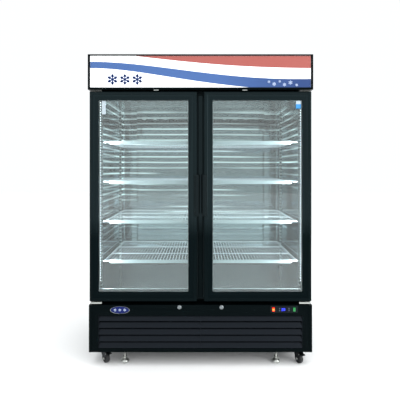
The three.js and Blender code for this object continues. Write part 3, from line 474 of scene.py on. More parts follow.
# Zinc plate on pressed steel: bright, thin and a little blotched.
zinc_plate = finish("zinc_plated_steel", "#b3b6b2", 0.3, (90, 0.015, 0.0003), (0.26, 0.36), Metallic=1.0)

# Zinc plate with a black passivate, on the casters' forks.
black_zinc = finish("black_passivated_zinc", "#2a2d30", 0.32, (220, 0.05, 0.0003), (0.26, 0.4), Metallic=1.0)

# Bright chrome plate on the lock barrels and the emblem's rim, polished: nearly a mirror, with wiping marks.
chrome_plate = finish("polished_chrome", "#7d8386", 0.12, (300, 0.01, 0.0002), (0.06, 0.14), Metallic=1.0)

# Epoxy dip on steel wire: a thick white skin with a soft gloss.
epoxy_wire = finish("epoxy_coated_wire", "#c2cbd2", 0.3, (500, 0.06, 0.0003), (0.26, 0.38))

# Extruded white PVC of the ticket strips and the floor sill, smooth, with faint lines along its length.
white_pvc = finish("extruded_white_pvc", "#bcc7cb", 0.28, (200, 0.03, 0.0002, (0.05, 1, 1)), (0.24, 0.34))

# Opal acrylic face of the sign, extruded and glossy, lit from behind.
opal_acrylic = finish(
    "opal_acrylic", "#f7fafb", 0.18, (30, 0.02, 0.0005), (0.15, 0.22), **lit("#f6fafc", 0.35)
)

# Translucent printed vinyl on the sign: it glows with its own colour, and its surface ripples a little.
RIPPLE, SOFT_GLOSS = (12, 0.03, 0.0004), (0.3, 0.38)
red_film = finish("red_vinyl_film", "#984d46", 0.34, RIPPLE, SOFT_GLOSS, **lit("#984d46", 0.08))
navy_film = finish("navy_vinyl_film", "#153a7c", 0.34, RIPPLE, SOFT_GLOSS, **lit("#153a7c", 0.05))
pale_film = finish("pale_vinyl_film", "#b9c6dd", 0.34, RIPPLE, SOFT_GLOSS, **lit("#b9c6dd", 0.15))

# The blue film is printed deeper towards the right.
blue_film, tree, shader, place = surface("blue_vinyl_film", "#375990", 0.34, **lit("#375990", 0.1))
vary(tree, shader, grain(tree, shader, place, *RIPPLE), *SOFT_GLOSS)
across = add(tree, "ShaderNodeSeparateXYZ", {0: place})
deepen = add(tree, "ShaderNodeMapRange", {0: across.outputs[0], 1: 0.1, 2: 0.62, 3: 0.0, 4: 1.0})
ink_tones = {0: deepen.outputs[0], 6: linear("#375990"), 7: linear("#12346a")}
depth = add(tree, "ShaderNodeMix", ink_tones, data_type="RGBA")
for socket in ("Base Color", "Emission Color"):
    tree.links.new(depth.outputs[2], shader.inputs[socket])

# Float glass: light passes straight through, and a share that grows with the slant mirrors: Schlick's rule,
# the same from both sides of a face, for glass of index 1.5.
float_glass = bpy.data.materials.new("float_glass")
float_glass.use_nodes = True
tree = float_glass.node_tree
tree.nodes.clear()
clear = add(tree, "ShaderNodeBsdfTransparent", {"Color": linear("#f9fdfd")})
mirror = add(tree, "ShaderNodeBsdfGlossy", {"Color": linear("#ffffff"), "Roughness": 0.02})
place = add(tree, "ShaderNodeTexCoord")
ripple = add(tree, "ShaderNodeTexNoise", {"Vector": place.outputs["Object"], "Scale": 2.5, "Detail": 1.0})
wave = add(tree, "ShaderNodeBump", {"Strength": 0.02, "Distance": 0.004, "Height": ripple.outputs[0]})
tree.links.new(wave.outputs[0], mirror.inputs["Normal"])
slant = add(tree, "ShaderNodeLayerWeight", {"Blend": 0.5})
steep = add(tree, "ShaderNodeMath", {0: slant.outputs["Facing"], 1: 5.0}, operation="POWER")
share = add(tree, "ShaderNodeMapRange", {0: steep.outputs[0], 3: 0.04, 4: 1.0})
pane_mix = add(tree, "ShaderNodeMixShader", {0: share.outputs[0], 1: clear.outputs[0], 2: mirror.outputs[0]})
add(tree, "ShaderNodeOutputMaterial", {0: pane_mix.outputs[0]})

# Extruded aluminium spacer between the panes and behind the lamps, mill finish, drawn lengthwise.
spacer_metal = finish(
    "mill_finish_aluminium", "#a9afb0", 0.35, (240, 0.05, 0.0002, (0.1, 1, 0.1)), (0.3, 0.42), Metallic=1.0
)

# Extruded flexible PVC of the gasket: dull, with a faint drag along its length.
gasket_pvc = finish("extruded_black_pvc", "#101315", 0.62, (300, 0.1, 0.0003, (1, 1, 0.2)), (0.55, 0.7))

# Roll-formed pilaster steel with a hanging slot every 25.4 mm, 12 mm tall, drawn as a band of painted shade.
slotted_steel, tree, shader, place = surface("roll_formed_slotted_steel", "#bfc5c5", 0.32, Metallic=1.0)
level = add(tree, "ShaderNodeSeparateXYZ", {0: place})
repeat = add(tree, "ShaderNodeMath", {0: level.outputs[2], 1: 0.0254}, operation="FLOORED_MODULO")
slot_edge = add(tree, "ShaderNodeMath", {0: repeat.outputs[0], 1: 0.012}, operation="LESS_THAN")
# Painted shade: the slots are darker bands of colour, not holes.
painted_slot_shade_tones = {0: slot_edge.outputs[0], 6: linear("#bfc5c5"), 7: linear("#5c6466")}
dark = add(tree, "ShaderNodeMix", painted_slot_shade_tones, data_type="RGBA")
tree.links.new(dark.outputs[2], shader.inputs["Base Color"])

# Rolled aluminium fins, thin and a little wavy.
fin_metal, tree, shader, place = surface("rolled_aluminium_fins", "#aeb3b4", 0.36, Metallic=1.0)
grain(tree, shader, place, 90, 0.2, 0.0006)

# Polyurethane foam, closed by its skins.
foam, tree, shader, place = surface("polyurethane_foam", "#e6dcae", 0.9)
grain(tree, shader, place, 350, 0.5, 0.001)

# Moulded polyurethane caster tread, charcoal and scuffed.
tread = finish("moulded_polyurethane_tread", "#1b1d1f", 0.55, (250, 0.2, 0.0004), (0.45, 0.7))

# Tinted polycarbonate switch lenses, moulded: the red one has a hot spot where its lamp is.
LENS_RELIEF, LENS_GLOSS = (150, 0.03, 0.0002), (0.16, 0.26)
red_lens, tree, shader, place = surface("red_polycarbonate", "#b81c0c", 0.2, **{"Emission Strength": 1.5})
vary(tree, shader, grain(tree, shader, place, *LENS_RELIEF), *LENS_GLOSS)
lamp_at = np.mean(low_high("light_switch"), axis=0) / 1000
centred = add(tree, "ShaderNodeVectorMath", {0: place, 1: lamp_at.tolist()}, operation="DISTANCE")
fade = add(tree, "ShaderNodeMapRange", {0: centred.outputs["Value"], 1: 0.004, 2: 0.011})
core_tones = {0: fade.outputs[0], 6: linear("#ffb02c"), 7: linear("#ec1a0a")}
core = add(tree, "ShaderNodeMix", core_tones, data_type="RGBA")
tree.links.new(core.outputs[2], shader.inputs["Emission Color"])
green_lens = finish("green_polycarbonate", "#12602c", 0.2, LENS_RELIEF, LENS_GLOSS, **lit("#0e9a4a", 0.5))

# Tinted polycarbonate display window, and its lit digits.
display_window = finish(
    "tinted_polycarbonate", "#060b16", 0.1, (60, 0.01, 0.0002), (0.07, 0.14), **{"Specular IOR Level": 0.12}
)
digit_glow = finish(
    "blue_digit_lamps", "#2a3cff", 0.3, (800, 0.02, 0.0002), (0.25, 0.35), **lit("#3240ff", 3.2)
)

# Moulded grey silicone rubber keys, matt, with a skin grain drawn at 1.5 mm so that it shows.
key_rubber = finish("moulded_silicone_rubber", "#39434f", 0.6, (660, 0.05, 0.0002), (0.52, 0.66))

# White light-emitting chips under a soft silicone dome.
led_glow = finish("led_chips", "#ffffff", 0.4, (500, 0.02, 0.0002), (0.35, 0.45), **lit("#f2fbff", 5.0))

# Paper labels with a gloss varnish.
label_paper = finish("varnished_paper", "#aebcc4", 0.35, (400, 0.05, 0.0002), (0.3, 0.42))
label_blue = finish("blue_printed_paper", "#2f86c4", 0.35, (400, 0.05, 0.0002), (0.3, 0.42))

# Printed blue face of the oval emblem under clear poured resin.
emblem_blue = finish(
    "doming_resin_blue", "#06195a", 0.12, (40, 0.02, 0.0004), (0.1, 0.18), **{"Specular IOR Level": 0.2}
)

# Pale studio floor: a smooth matt board.
floor_board = finish("matt_pale_board", "#f8f9f9", 0.7, (20, 0.02, 0.0005), (0.65, 0.78))

# ---------------------------------------------------------------- places, in millimetres, from the CAD nodes

HALF, BACK = (round(side * 1000, 3) for side in cad_box[1][:2])  # half the width, and the back's plane
moving = [joint for joint in frame["joints"] if "pos_m" in joint]
joint_at = {joint["name"]: np.array(joint["pos_m"]) * 1000 for joint in moving}
SIGN_LOW, SIGN_HIGH = low_high("sign_housing")
FASCIA_LOW, FASCIA_HIGH = low_high("front_fascia")
FACE = FASCIA_LOW[1]
FRAME_LOW = low_high("front_frame")[0]
DOOR_LOW, DOOR_HIGH = low_high("door_frame_right")
GLASS_LOW, GLASS_HIGH = low_high("door_glass_right")
LINER_LOW, LINER_HIGH = low_high("inner_liner")
DUCT_LOW = low_high("air_duct_panel")[0]
GRILLE_LOW, GRILLE_HIGH = low_high("front_grille")
PANEL_LOW, PANEL_HIGH = low_high("control_panel")
SKIN = 0.8  # sheet thickness
SIDES = (("left", True), ("right", False))

# ---------------------------------------------------------------- floor

reach = 15000
floor = closed_object("studio_floor", [boxes([[-reach, -reach, -40], [reach, reach, 0]])])
floor.data.materials.append(floor_board)

# ---------------------------------------------------------------- cabinet skins that keep their CAD shape

dress(powder_coat, "side_panel_left", "side_panel_right", "outer_wrap")
dress(foam, "insulation")
dress(black_abs, "front_frame", "condenser_fan", "evaporator_fan")
dress(opal_acrylic, "sign_panel")
dress(stainless, "air_duct_panel")
dress(slotted_steel, *(f"pilaster_{end}_{side}" for end in ("front", "rear") for side in ("left", "right")))
dress(fin_metal, "condenser_unit", "evaporator_coil")
dress(galvanised, "rear_grille")
dress(powder_coat, "compressor")
dress(led_glow, "sign_lamp")
dress(red_lens, "light_switch")
dress(green_lens, "power_switch")

# Pan-head screws down the back edges and along the rear grille: a low dome.
screw_profile = [[0.2, 2.2], [1.6, 2.05], [3.0, 1.5], [3.8, 0.6], [4.0, 0.0]]
grille_screws = [(x, z) for x in (-660, -330, 0, 330, 660) for z in (112, 386)]
screw_at = [(sx * 672, z, BACK) for sx in (-1, 1) for z in np.linspace(440, 1700, 6)]
screw_at += [(x, z, BACK - 11) for x, z in grille_screws]
screws = []
for x, z, back in screw_at:
    profile = [[r, back + along - 2.2] for r, along in screw_profile[::-1]]
    screws.append(turned(profile, 1, (x, 0, z), steps=16))
piece("back_screws", screws, zinc_plate, "cabinet", slot="zinc")

# On the back sheet: two caps over the foam's filling holes, and a blank rating plate.
cap_profile = [[19.0, BACK + 0.1], [19.0, BACK + 0.9], [16.5, BACK + 1.8], [0.2, BACK + 2]]
caps = [turned(cap_profile, 1, (x, 0, 1180), 40) for x in (-330, 330)]
piece("filling_caps", caps, black_abs, "cabinet", slot="black_plastic")
rating_plate = prism(rounded((-560, 560), (-440, 640), 4), 1, (BACK + 0.1, BACK + 0.6))
piece("blank_rating_plate", rating_plate, label_paper, "cabinet", slot="acrylic")

# ---------------------------------------------------------------- sign box

hood_back = SIGN_HIGH[1]
roof = low_high("outer_wrap")[1][2] + 0.3
skirt = FRAME_LOW[1] - 0.3
top, low = SIGN_HIGH[2], SIGN_LOW[2]
border = [[0, -397], [0, -399.2], [0.8, -400], [12.6, -400], [14, -399.4], [14, -397]]
cheek = [[-397.2, low], [skirt, low], [skirt, roof], [hood_back, roof], [hood_back, top], [-397.2, top]]
sign_sheets = [
    mitred((-HALF, HALF), (low, top), border, share=(1, 1, 13 / 14, 9 / 14)),
    prism(cheek, 0, (-HALF, -HALF + SKIN)),
    prism(cheek, 0, (HALF - SKIN, HALF)),
    boxes(
        [
            [[-HALF + SKIN, -397.2, top - SKIN], [HALF - SKIN, hood_back, top]],
            [[-HALF + SKIN, -397.2, low], [HALF - SKIN, skirt, low + SKIN]],
            [[-HALF + SKIN, hood_back - SKIN, roof], [HALF - SKIN, hood_back, top - SKIN]],
            [[-HALF + SKIN, skirt, roof], [HALF - SKIN, hood_back - SKIN, roof + SKIN]],
            [[-HALF + SKIN, skirt - SKIN, low + SKIN], [HALF - SKIN, skirt, roof]],
        ]
    ),
]
piece("sign_box", sign_sheets, powder_coat, "cabinet", ["sign_housing"], "painted_steel", bevel=0.25)

# Two spring latches under the sign hold its panel.
latches = boxes([[[sx * 272 - 15, -398, low - 5.5], [sx * 272 + 15, -390, low - 0.2]] for sx in (-1, 1)])
piece("sign_latches", latches, zinc_plate, "cabinet", slot="zinc", bevel=1.2)

# Printed films on the sign's face. Each edge is the fourth-degree curve that passes closest to its points.
FILM = (low_high("sign_panel")[0][1] - 0.25, low_high("sign_panel")[0][1] - 0.05)
WINDOW_X = (-HALF + 14.3, HALF - 14.3)
WINDOW_Z = (low + 13.3, top - 9.3)
edge_points = {
    "red_low": [
        *([-680, 1948], [-410, 1919], [-297, 1909], [-156, 1892.4]),
        *([12, 1875], [199, 1861], [389, 1852], [673, 1845]),
    ],
    "blue_high": [
        *([-680, 1885], [-447, 1873.4], [-270, 1855], [-15, 1822]),
        *([199, 1798.7], [389, 1784.6], [673, 1779.7]),
    ],
    "blue_low": [
        *([-680, 1845], [-456, 1831], [-309, 1809.7], [-156, 1787]),
        *([12, 1761.3], [199, 1737.4], [293, 1728.2], [673, 1690]),
    ],
}
across_sign = np.linspace(*WINDOW_X, 97)
edges_at = {
    name: np.clip(np.polyval(np.polyfit(*np.array(points).T, 4), across_sign), *WINDOW_Z)
    for name, points in edge_points.items()
}


def ribbon(low_edge, high_edge, wide_enough=0.5):
    """A film between two curves of z over x: a loop of four points at each x where the curves stand apart."""
    keep = high_edge - low_edge > wide_enough
    x, z0, z1 = across_sign[keep], low_edge[keep], high_edge[keep]
    near, far = np.full_like(x, FILM[0]), np.full_like(x, FILM[1])
    corners = [(near, z0), (far, z0), (far, z1), (near, z1)]
    return loft(np.stack([np.stack([x, y, z], 1) for y, z in corners], 1))


red_band = ribbon(edges_at["red_low"], np.full_like(across_sign, WINDOW_Z[1]))
piece("sign_red_band", red_band, red_film, "cabinet", slot="acrylic")
blue_band = ribbon(edges_at["blue_low"], edges_at["blue_high"])
piece("sign_blue_band", blue_band, blue_film, "cabinet", slot="acrylic")


def snowflake(at, size):
    """Segments of a snowflake: six arms from the centre, each with two pairs of slanting side branches."""
    arm = [[0, 0, 1, 0]]
    for root, tip, spread in ((0.45, 0.68, 0.26), (0.7, 0.86, 0.17)):
        arm += [[root, 0, tip, spread], [root, 0, tip, -spread]]
    ends = np.array(arm).reshape(-1, 2)
    spin = [np.radians(90 + 60 * i) for i in range(6)]
    turns = [ends @ np.array([[np.cos(a), np.sin(a)], [-np.sin(a), np.cos(a)]]) for a in spin]
    return (np.concatenate(turns).reshape(-1, 4) * size + np.tile(at, 2)).tolist()


film_depth = (FILM[0] - 0.2, FILM[1])
navy_flakes = [s for x in (-540, -464, -388) for s in snowflake((x, 1776), 33)]
piece("sign_emblem", strokes(navy_flakes, 7.5, film_depth), navy_film, "cabinet", slot="acrylic")
pale_places = [(420, 1762, 9), (452, 1748, 12), (486, 1764, 8)]
pale_places += [(515, 1744, 11), (552, 1757, 13), (590, 1742, 9)]
pale_flakes = [s for x, z, size in pale_places for s in snowflake((x, z), size)]
piece("sign_flakes", strokes(pale_flakes, 2.2, film_depth), pale_film, "cabinet", slot="acrylic")

# ---------------------------------------------------------------- front frame's mullion cover and chassis

mullion = rounded((-15, FRAME_LOW[1] - 4), (15, FRAME_LOW[1] - 0.2), 1.6)
mullion_cover = prism(mullion, 2, (DOOR_LOW[2] + 4, DOOR_HIGH[2] - 18))
piece("mullion_cover", mullion_cover, door_coat, "cabinet", slot="black_plastic")

base_low, base_high = low_high("base_chassis")
posts = [
    prism(rounded((x0, FACE), (x0 + 18, base_low[1] + 61.4), 1.6), 2, (base_low[2], FASCIA_HIGH[2]))
    for x0 in (-HALF, HALF - 18)
]
piece("corner_posts", posts, powder_coat, "cabinet", ["base_chassis"], "painted_steel", bevel=0.6)
foot_low, foot_high = low_high("levelling_foot_right")
foot_x, foot_y, _ = (foot_low + foot_high) / 2
tray_x = HALF - SKIN - 0.3
tray_z = (base_low[2], base_low[2] + 1.5)
hole = 9  # half the square hole for a foot's screw
strips = [(-tray_x, tray_x, FACE + 2, foot_y - hole), (-tray_x, tray_x, foot_y + hole, base_high[1])]
for x0, x1 in ((-tray_x, -foot_x - hole), (-foot_x + hole, foot_x - hole), (foot_x + hole, tray_x)):
    strips.append((x0, x1, foot_y - hole, foot_y + hole))
tray = [[[x0, y0, tray_z[0]], [x1, y1, tray_z[1]]] for x0, x1, y0, y1 in strips]
piece("base_tray", boxes(tray), powder_coat, "cabinet", ["base_chassis"], "painted_steel")

# ---------------------------------------------------------------- lower cover and louvres

fascia_x = FASCIA_HIGH[0]
opening = (632.0, GRILLE_LOW[2] - 0.3, GRILLE_HIGH[2] + 0.3)
side_share = (fascia_x - opening[0]) / 20
outside = [[0, FACE + 1.5], [0, FACE + 0.8], [0.8 / side_share, FACE]]
roll = [[20 - 2 / side_share, FACE], [20 - 0.6 / side_share, FACE + 0.7], [20, FACE + 2.4]]
lip = [[20, FACE + 9], [20 - 1.2 / side_share, FACE + 9], [20 - 1.4 / side_share, FACE + 1.5]]
cover = outside + roll + lip
bottom_share = (opening[1] - FASCIA_LOW[2]) / 20
top_share = (FASCIA_HIGH[2] - opening[2]) / 20
lock_x, _, lock_z = joint_at["lock_right_turn"]
cam_y = (FACE + 30, FACE + 33)
bore = [[11.4, FACE - 6], [11.4, FACE + 6]]
bores = [turned(bore, 1, (x, 0, lock_z)) for x in (lock_x, -lock_x)]
cam_gap = boxes([[lock_x - 8, cam_y[0] - 2, lock_z + 6], [lock_x + 47, cam_y[1] + 2, lock_z + 18]])
gap_low, gap_high = PANEL_LOW + 6, PANEL_HIGH - 6
panel_gap = boxes([[gap_low[0], FACE - 5, gap_low[2]], [gap_high[0], FACE + 5, gap_high[2]]])
front_cover = mitred(
    (-fascia_x, fascia_x),
    (FASCIA_LOW[2], FASCIA_HIGH[2]),
    cover,
    share=(side_share, side_share, bottom_share, top_share),
)
shelf_plate = boxes([[[-fascia_x, FACE + 1.6, FASCIA_HIGH[2] - 1.5], [fascia_x, skirt, FASCIA_HIGH[2]]]])
for name, shape, gaps in (
    ("lower_cover", front_cover, [*bores, panel_gap]),
    ("lower_cover_top", shelf_plate, [cam_gap, moved(cam_gap, mirror=True)]),
):
    piece(name, shape, powder_coat, "cabinet", ["front_fascia"], "painted_steel", cut=gaps)

# Each louvre is a hood: a rounded nose in front, a 2 mm face leaning back, and a flange behind its top.
blade_pitch = (GRILLE_HIGH[2] - GRILLE_LOW[2] - 34.8) / 4
nose = [[0.0, 1.6], [0.3, 0.5], [1.2, 0.0], [2.2, 0.6]]
inner_face = [[3.4, 4.2], [8.0, 16.0], [13.4, 28.6], [14.6, 30.0]]
flange = [[29.6, 31.2], [29.6, 32.6], [13.6, 31.6]]
outer_face = [[11.8, 30.0], [6.0, 16.6], [1.0, 5.0], [0.0, 3.2]]
hood = np.array([*nose, *inner_face, *flange, *outer_face])
blades = [
    prism(hood + [GRILLE_LOW[1], GRILLE_LOW[2] + 1.8 + i * blade_pitch], 0, (-629.6, 629.6)) for i in range(5)
]
gussets = boxes(
    [
        [[x0, GRILLE_LOW[1] + 1.5, GRILLE_LOW[2]], [x0 + 2.0, GRILLE_HIGH[1], GRILLE_HIGH[2]]]
        for x0 in (-631.6, 629.6)
    ]
)
rib = boxes([[-1.6, GRILLE_LOW[1] + 4, GRILLE_LOW[2]], [1.6, GRILLE_HIGH[1], GRILLE_HIGH[2]]])
louvres = [*blades, gussets, rib]
piece("front_louvres", louvres, grey_abs, "cabinet", ["front_grille"], "louvre_plastic", crease=50)

# Behind the louvres, a black filter pad. Strips close the gap above the cover and the gaps at its sides.
pad_y, pad_z = GRILLE_HIGH[1] + 2, (GRILLE_LOW[2] + 3, GRILLE_HIGH[2] - 3)
filter_pad = boxes([[-626, pad_y, pad_z[0]], [626, pad_y + 4, pad_z[1]]])
piece("filter_pad", filter_pad, gasket_pvc, "cabinet", slot="black_plastic")
closer_x = HALF - SKIN
closer = [[[-632, -326, FASCIA_HIGH[2] + 0.3], [632, -324.5, FRAME_LOW[2] - 0.4]]]
for near, far in ((-closer_x, -fascia_x + 6), (fascia_x - 6, closer_x)):
    closer.append([[near, FACE + 10, FASCIA_LOW[2] + 2], [far, FACE + 11.5, FASCIA_HIGH[2] - 2]])
piece("gap_closer", boxes(closer), powder_coat, "cabinet", slot="painted_steel")

# ---------------------------------------------------------------- locks, control panel, emblem

keyway = boxes([[lock_x - 1, FACE - 6, lock_z - 5], [lock_x + 1, FACE + 2, lock_z + 5]])
plug = [[0.3, -3.2], [7.6, -3.2], [8.4, -2.6], [9.2, -2.7]]
collar = [[11.4, -3.0], [12.6, -2.2], [13.0, -0.4], [11.0, -0.4]]
barrel = np.array([*plug, *collar, [11.0, 30.6], [0.3, 30.6]]) + [0, FACE]
cam_outline = [[-7, -7], [38, -7], [43.5, -4.5], [45, 0], [43.5, 4.5], [38, 7], [-7, 7]]
for side, mirror in SIDES:
    cam = prism(np.array(cam_outline) + [lock_x, lock_z], 1, cam_y)
    lock = [turned(barrel, 1, (lock_x, 0, lock_z), steps=64), cam]
    extras = {"slot": "chrome", "cut": [keyway], "mirror": mirror}
    piece(f"cam_lock_{side}", lock, chrome_plate, f"lock_{side}", [f"door_lock_{side}"], **extras)

panel_front = PANEL_LOW[1] + 2
bezel_outline = rounded((PANEL_LOW[0], PANEL_LOW[2]), (PANEL_HIGH[0], PANEL_HIGH[2]), 5)
wells = []
for switch in ("light_switch", "power_switch"):
    x, _, z = np.mean(low_high(switch), axis=0)
    wells.append(boxes([[x - 8, panel_front - 3, z - 15], [x + 8, FACE + 16, z + 15]]))
core_low, core_high = PANEL_LOW + 6.3, PANEL_HIGH - 6.3
core_outline = rounded((core_low[0], core_low[2]), (core_high[0], core_high[2]), 2)
for name, outline, depth in (
    ("control_bezel", bezel_outline, (panel_front, FACE - 0.3)),
    ("control_box", core_outline, (FACE - 0.2, FACE + 34)),
):
    solid = prism(outline, 1, depth)
    piece(name, solid, black_abs, "cabinet", ["control_panel"], "black_plastic", cut=wells, bevel=0.5)
mid_x, _, mid_z = (PANEL_LOW + PANEL_HIGH) / 2
pane = rounded((mid_x - 35, mid_z - 16), (mid_x + 35, mid_z + 16), 4)
window = prism(pane, 1, (panel_front - 2, panel_front))
piece("display_window", window, display_window, "cabinet", slot="black_plastic", bevel=0.5)

# Seven-segment digits: a segment is one stroke of a 7 x 14 mm figure, lettered clockwise from the top.
figure = {"a": [0, 14, 7, 14], "b": [7, 14, 7, 7], "c": [7, 7, 7, 0], "d": [0, 0, 7, 0]}
figure.update({"e": [0, 7, 0, 0], "f": [0, 14, 0, 7], "g": [0, 7, 7, 7]})
digits = []
for x, letters in ((-17, "abcdg"), (-4, "abcdefg")):
    digits += [np.add(figure[letter], np.tile((mid_x + x, mid_z - 7), 2)).tolist() for letter in letters]
digit_bars = strokes(digits, 1.5, (panel_front - 2.3, panel_front - 1.9))
piece("display_digits", digit_bars, digit_glow, "cabinet", slot="acrylic")
keys = []
for x in (mid_x - 29, mid_x + 29):
    for z in (mid_z - 6, mid_z + 6):
        key = rounded((x - 4, z - 4), (x + 4, z + 4), 2)
        keys.append(prism(key, 1, (panel_front - 2.6, panel_front - 2)))
piece("display_keys", keys, key_rubber, "cabinet", slot="louvre_plastic", bevel=0.3)

# Oval emblem: a silver rim round a domed blue face, with three plain snowflakes on it.
oval_at = (-498.0, FACE, 355.0)
oval = (61 / 23, 1)
rim = [[21.2, -0.1], [21.4, -2.4], [22.0, -3.2], [22.8, -2.6], [23.0, -0.1]]
dome = [[0.2, -2.6], [8, -2.5], [14, -2.1], [18, -1.6], [21.3, -0.8], [21.3, -0.1], [0.2, -0.1]]
oval_rim = turned(rim, 1, oval_at, 72, closed=True, stretch=oval)
piece("emblem_rim", oval_rim, chrome_plate, "cabinet", slot="chrome")
piece("emblem_face", turned(dome, 1, oval_at, 72, stretch=oval), emblem_blue, "cabinet", slot="acrylic")
flakes = [s for x in (-30, 0, 30) for s in snowflake((oval_at[0] + x, oval_at[2]), 8.5)]
piece("emblem_flakes", strokes(flakes, 1.3, (FACE - 3.0, FACE - 1.6)), pale_film, "cabinet", slot="acrylic")

# ---------------------------------------------------------------- doors

front, back = DOOR_LOW[1], DOOR_HIGH[1]
seat = (GLASS_LOW[1] - 0.3, GLASS_HIGH[1] + 0.3)
outer_edge = [[0, 2.4], [0.7, 0.7], [2.4, 0], [19.2, 0], [20.2, 0.5], [20.8, 2.4]]
sloping_face = [[22.4, 3.2], [48.0, 5.6], [51.0, 6.4], [53.2, 8.2], [54.0, 10.4]]
glass_seat = [[54.0, seat[0]], [44.0, seat[0]], [44.0, seat[1]], [54.0, seat[1]]]
rear_face = [[54.0, -4], [53.0, -1.4], [50.0, 0], [2.0, 0], [0.5, -0.6], [0, -2]]
door_section = [
    *([inset, front + y] for inset, y in outer_edge + sloping_face),
    *glass_seat,
    *([inset, back + y] for inset, y in rear_face),
]
cam_slot = boxes(
    [[lock_x - 10, cam_y[0] - 2, DOOR_LOW[2] - 1], [lock_x + 45, cam_y[1] + 2, DOOR_LOW[2] + 14]]
)
gasket_low, gasket_high = low_high("door_gasket_right")
root, lip_y = gasket_low[1], gasket_high[1]
folds = [
    *([14.0, root], [36.0, root], [36.0, root + 1.6], [33.5, root + 3.2], [34.6, root + 4.6]),
    *([33.0, lip_y - 2.4], [33.0, lip_y], [17.0, lip_y], [17.0, lip_y - 2.4]),
    *([15.4, root + 4.6], [16.5, root + 3.2], [14.0, root + 1.6]),
]
handle_low, handle_high = low_high("door_handle_right")
hx0, hx1, hy0, hy1 = handle_low[0], handle_high[0], handle_low[1], handle_high[1]
turn_in = np.radians(np.linspace(180, 270, 6))
turn_out = np.radians(np.linspace(270, 360, 6))
pull = [
    *([hx1 - 5, hy1], [hx1 - 5, hy0 + 7], [hx1 - 7, hy0 + 5], [hx0 + 6.5, hy0 + 5]),
    *([hx0 + 5, hy0 + 6.5], [hx0 + 5, hy0 + 10], [hx0 + 2.5, hy0 + 11.2], [hx0, hy0 + 10]),
    *np.stack([hx0 + 6 + 6 * np.cos(turn_in), hy0 + 6 + 6 * np.sin(turn_in)], 1).tolist(),
    *np.stack([hx1 - 6 + 6 * np.cos(turn_out), hy0 + 6 + 6 * np.sin(turn_out)], 1).tolist(),
    [hx1, hy1],
]
grip_z = np.array([0, 0.6, 2.4, 6, 12])
grip_in = np.array([5.5, 3.2, 1.4, 0.4, 0])
grip_levels = np.concatenate([handle_low[2] + grip_z, handle_high[2] - grip_z[::-1]])
grip_shrink = np.concatenate([grip_in, grip_in[::-1]])
grip_mid = np.array([(hx0 + hx1) / 2, hy1])
half_width = (hx1 - hx0) / 2
pull = np.array(pull)
grip = loft(
    np.stack(
        [
            np.insert(grip_mid + (pull - grip_mid) * (1 - inset / half_width / 2), 2, z, axis=1)
            for z, inset in zip(grip_levels, grip_shrink)
        ]
    )
)
unit_x, unit_z = (GLASS_LOW[0], GLASS_HIGH[0]), (GLASS_LOW[2], GLASS_HIGH[2])
g0, g1 = GLASS_LOW[1], GLASS_HIGH[1]
panes = {"outer": (g0, g0 + 4), "inner": (g1 - 4, g1)}
spacer_section = [[1, g0 + 4.2], [11.5, g0 + 4.2], [12, g0 + 5]]
spacer_section += [[12, g1 - 5], [11.5, g1 - 4.2], [1, g1 - 4.2]]
door_x, door_z = (DOOR_LOW[0], DOOR_HIGH[0]), (DOOR_LOW[2], DOOR_HIGH[2])
profile = mitred(door_x, door_z, door_section)
door_parts = [
    ("door_profile", profile, door_coat, "frame", "door_profile", 25, [cam_slot]),
    ("glass_spacer", mitred(unit_x, unit_z, spacer_section), spacer_metal, "glass", "galvanised", 32, ()),
    ("bellows_gasket", mitred(door_x, door_z, folds), gasket_pvc, "gasket", "gasket", 32, ()),
    ("pull", grip, black_abs, "handle", "black_plastic", 50, ()),
]
for name, depth in panes.items():
    pane = boxes([[unit_x[0], depth[0], unit_z[0]], [unit_x[1], depth[1], unit_z[1]]])
    door_parts.insert(-3, (f"{name}_pane", pane, float_glass, "glass", "glass", 32, ()))
for side, mirror in SIDES:
    for name, shape, material, part, slot, crease, cut in door_parts:
        extras = {"crease": crease, "cut": cut, "mirror": mirror}
        piece(f"{name}_{side}", shape, material, f"door_{side}", [f"door_{part}_{side}"], slot, **extras)

# Blank labels at the top of the glass, on the outside.
label_y = (GLASS_LOW[1] - 0.35, GLASS_LOW[1] - 0.05)
label_top = 1650
for name, paper, x0, x1, z0, z1 in (
    ("left", label_paper, -614, -590, 1567, label_top),
    ("right", label_blue, 594, 625, 1603, 1630),
    ("right_head", label_paper, 594, 625, 1630.1, label_top),
):
    label = boxes([[x0, label_y[0], z0], [x1, label_y[1], z1]])
    piece(f"blank_label_{name}", label, paper, f"door_{name.split('_')[0]}", slot="acrylic")

# ---------------------------------------------------------------- hinges

pin_x, pin_y, _ = joint_at["door_right_swing"]
lower_z = DOOR_LOW[2] - 8
upper_z = low_high("hinge_upper_right")[1][2] - 3
for height, plate_low, leg_low, pin_low, pin_high in (
    ("lower", lower_z, lower_z, lower_z + 1, lower_z + 15),
    ("upper", upper_z, upper_z - 13, upper_z - 13, upper_z + 2),
):
    node = f"hinge_{height}"
    h_low, h_high = low_high(node + "_right")
    plate = prism(rounded((h_low[0], h_low[1]), (h_high[0], h_high[1]), 4), 2, (plate_low, plate_low + 3))
    leg = boxes([[h_low[0], h_high[1] - 3, leg_low], [h_high[0], h_high[1], leg_low + 16]])
    if height == "lower":
        lip = prism(rounded((h_low[0], h_low[2]), (h_high[0], plate_low + 3), 3), 1, (h_low[1], h_low[1] + 3))
        plate = merged([plate, lip])
    chamfer = 1.2
    pin_profile = [[5, pin_low], [6, pin_low + chamfer], [6, pin_high - chamfer], [5, pin_high]]
    pin = turned(pin_profile, 2, (pin_x, pin_y, 0), 32)
    for side, mirror in SIDES:
        name, extras = f"{height}_hinge_{side}", {"bevel": 0.5, "mirror": mirror}
        piece(name, [plate, leg, pin], zinc_plate, "cabinet", [f"{node}_{side}"], "zinc", **extras)

# ---------------------------------------------------------------- liner

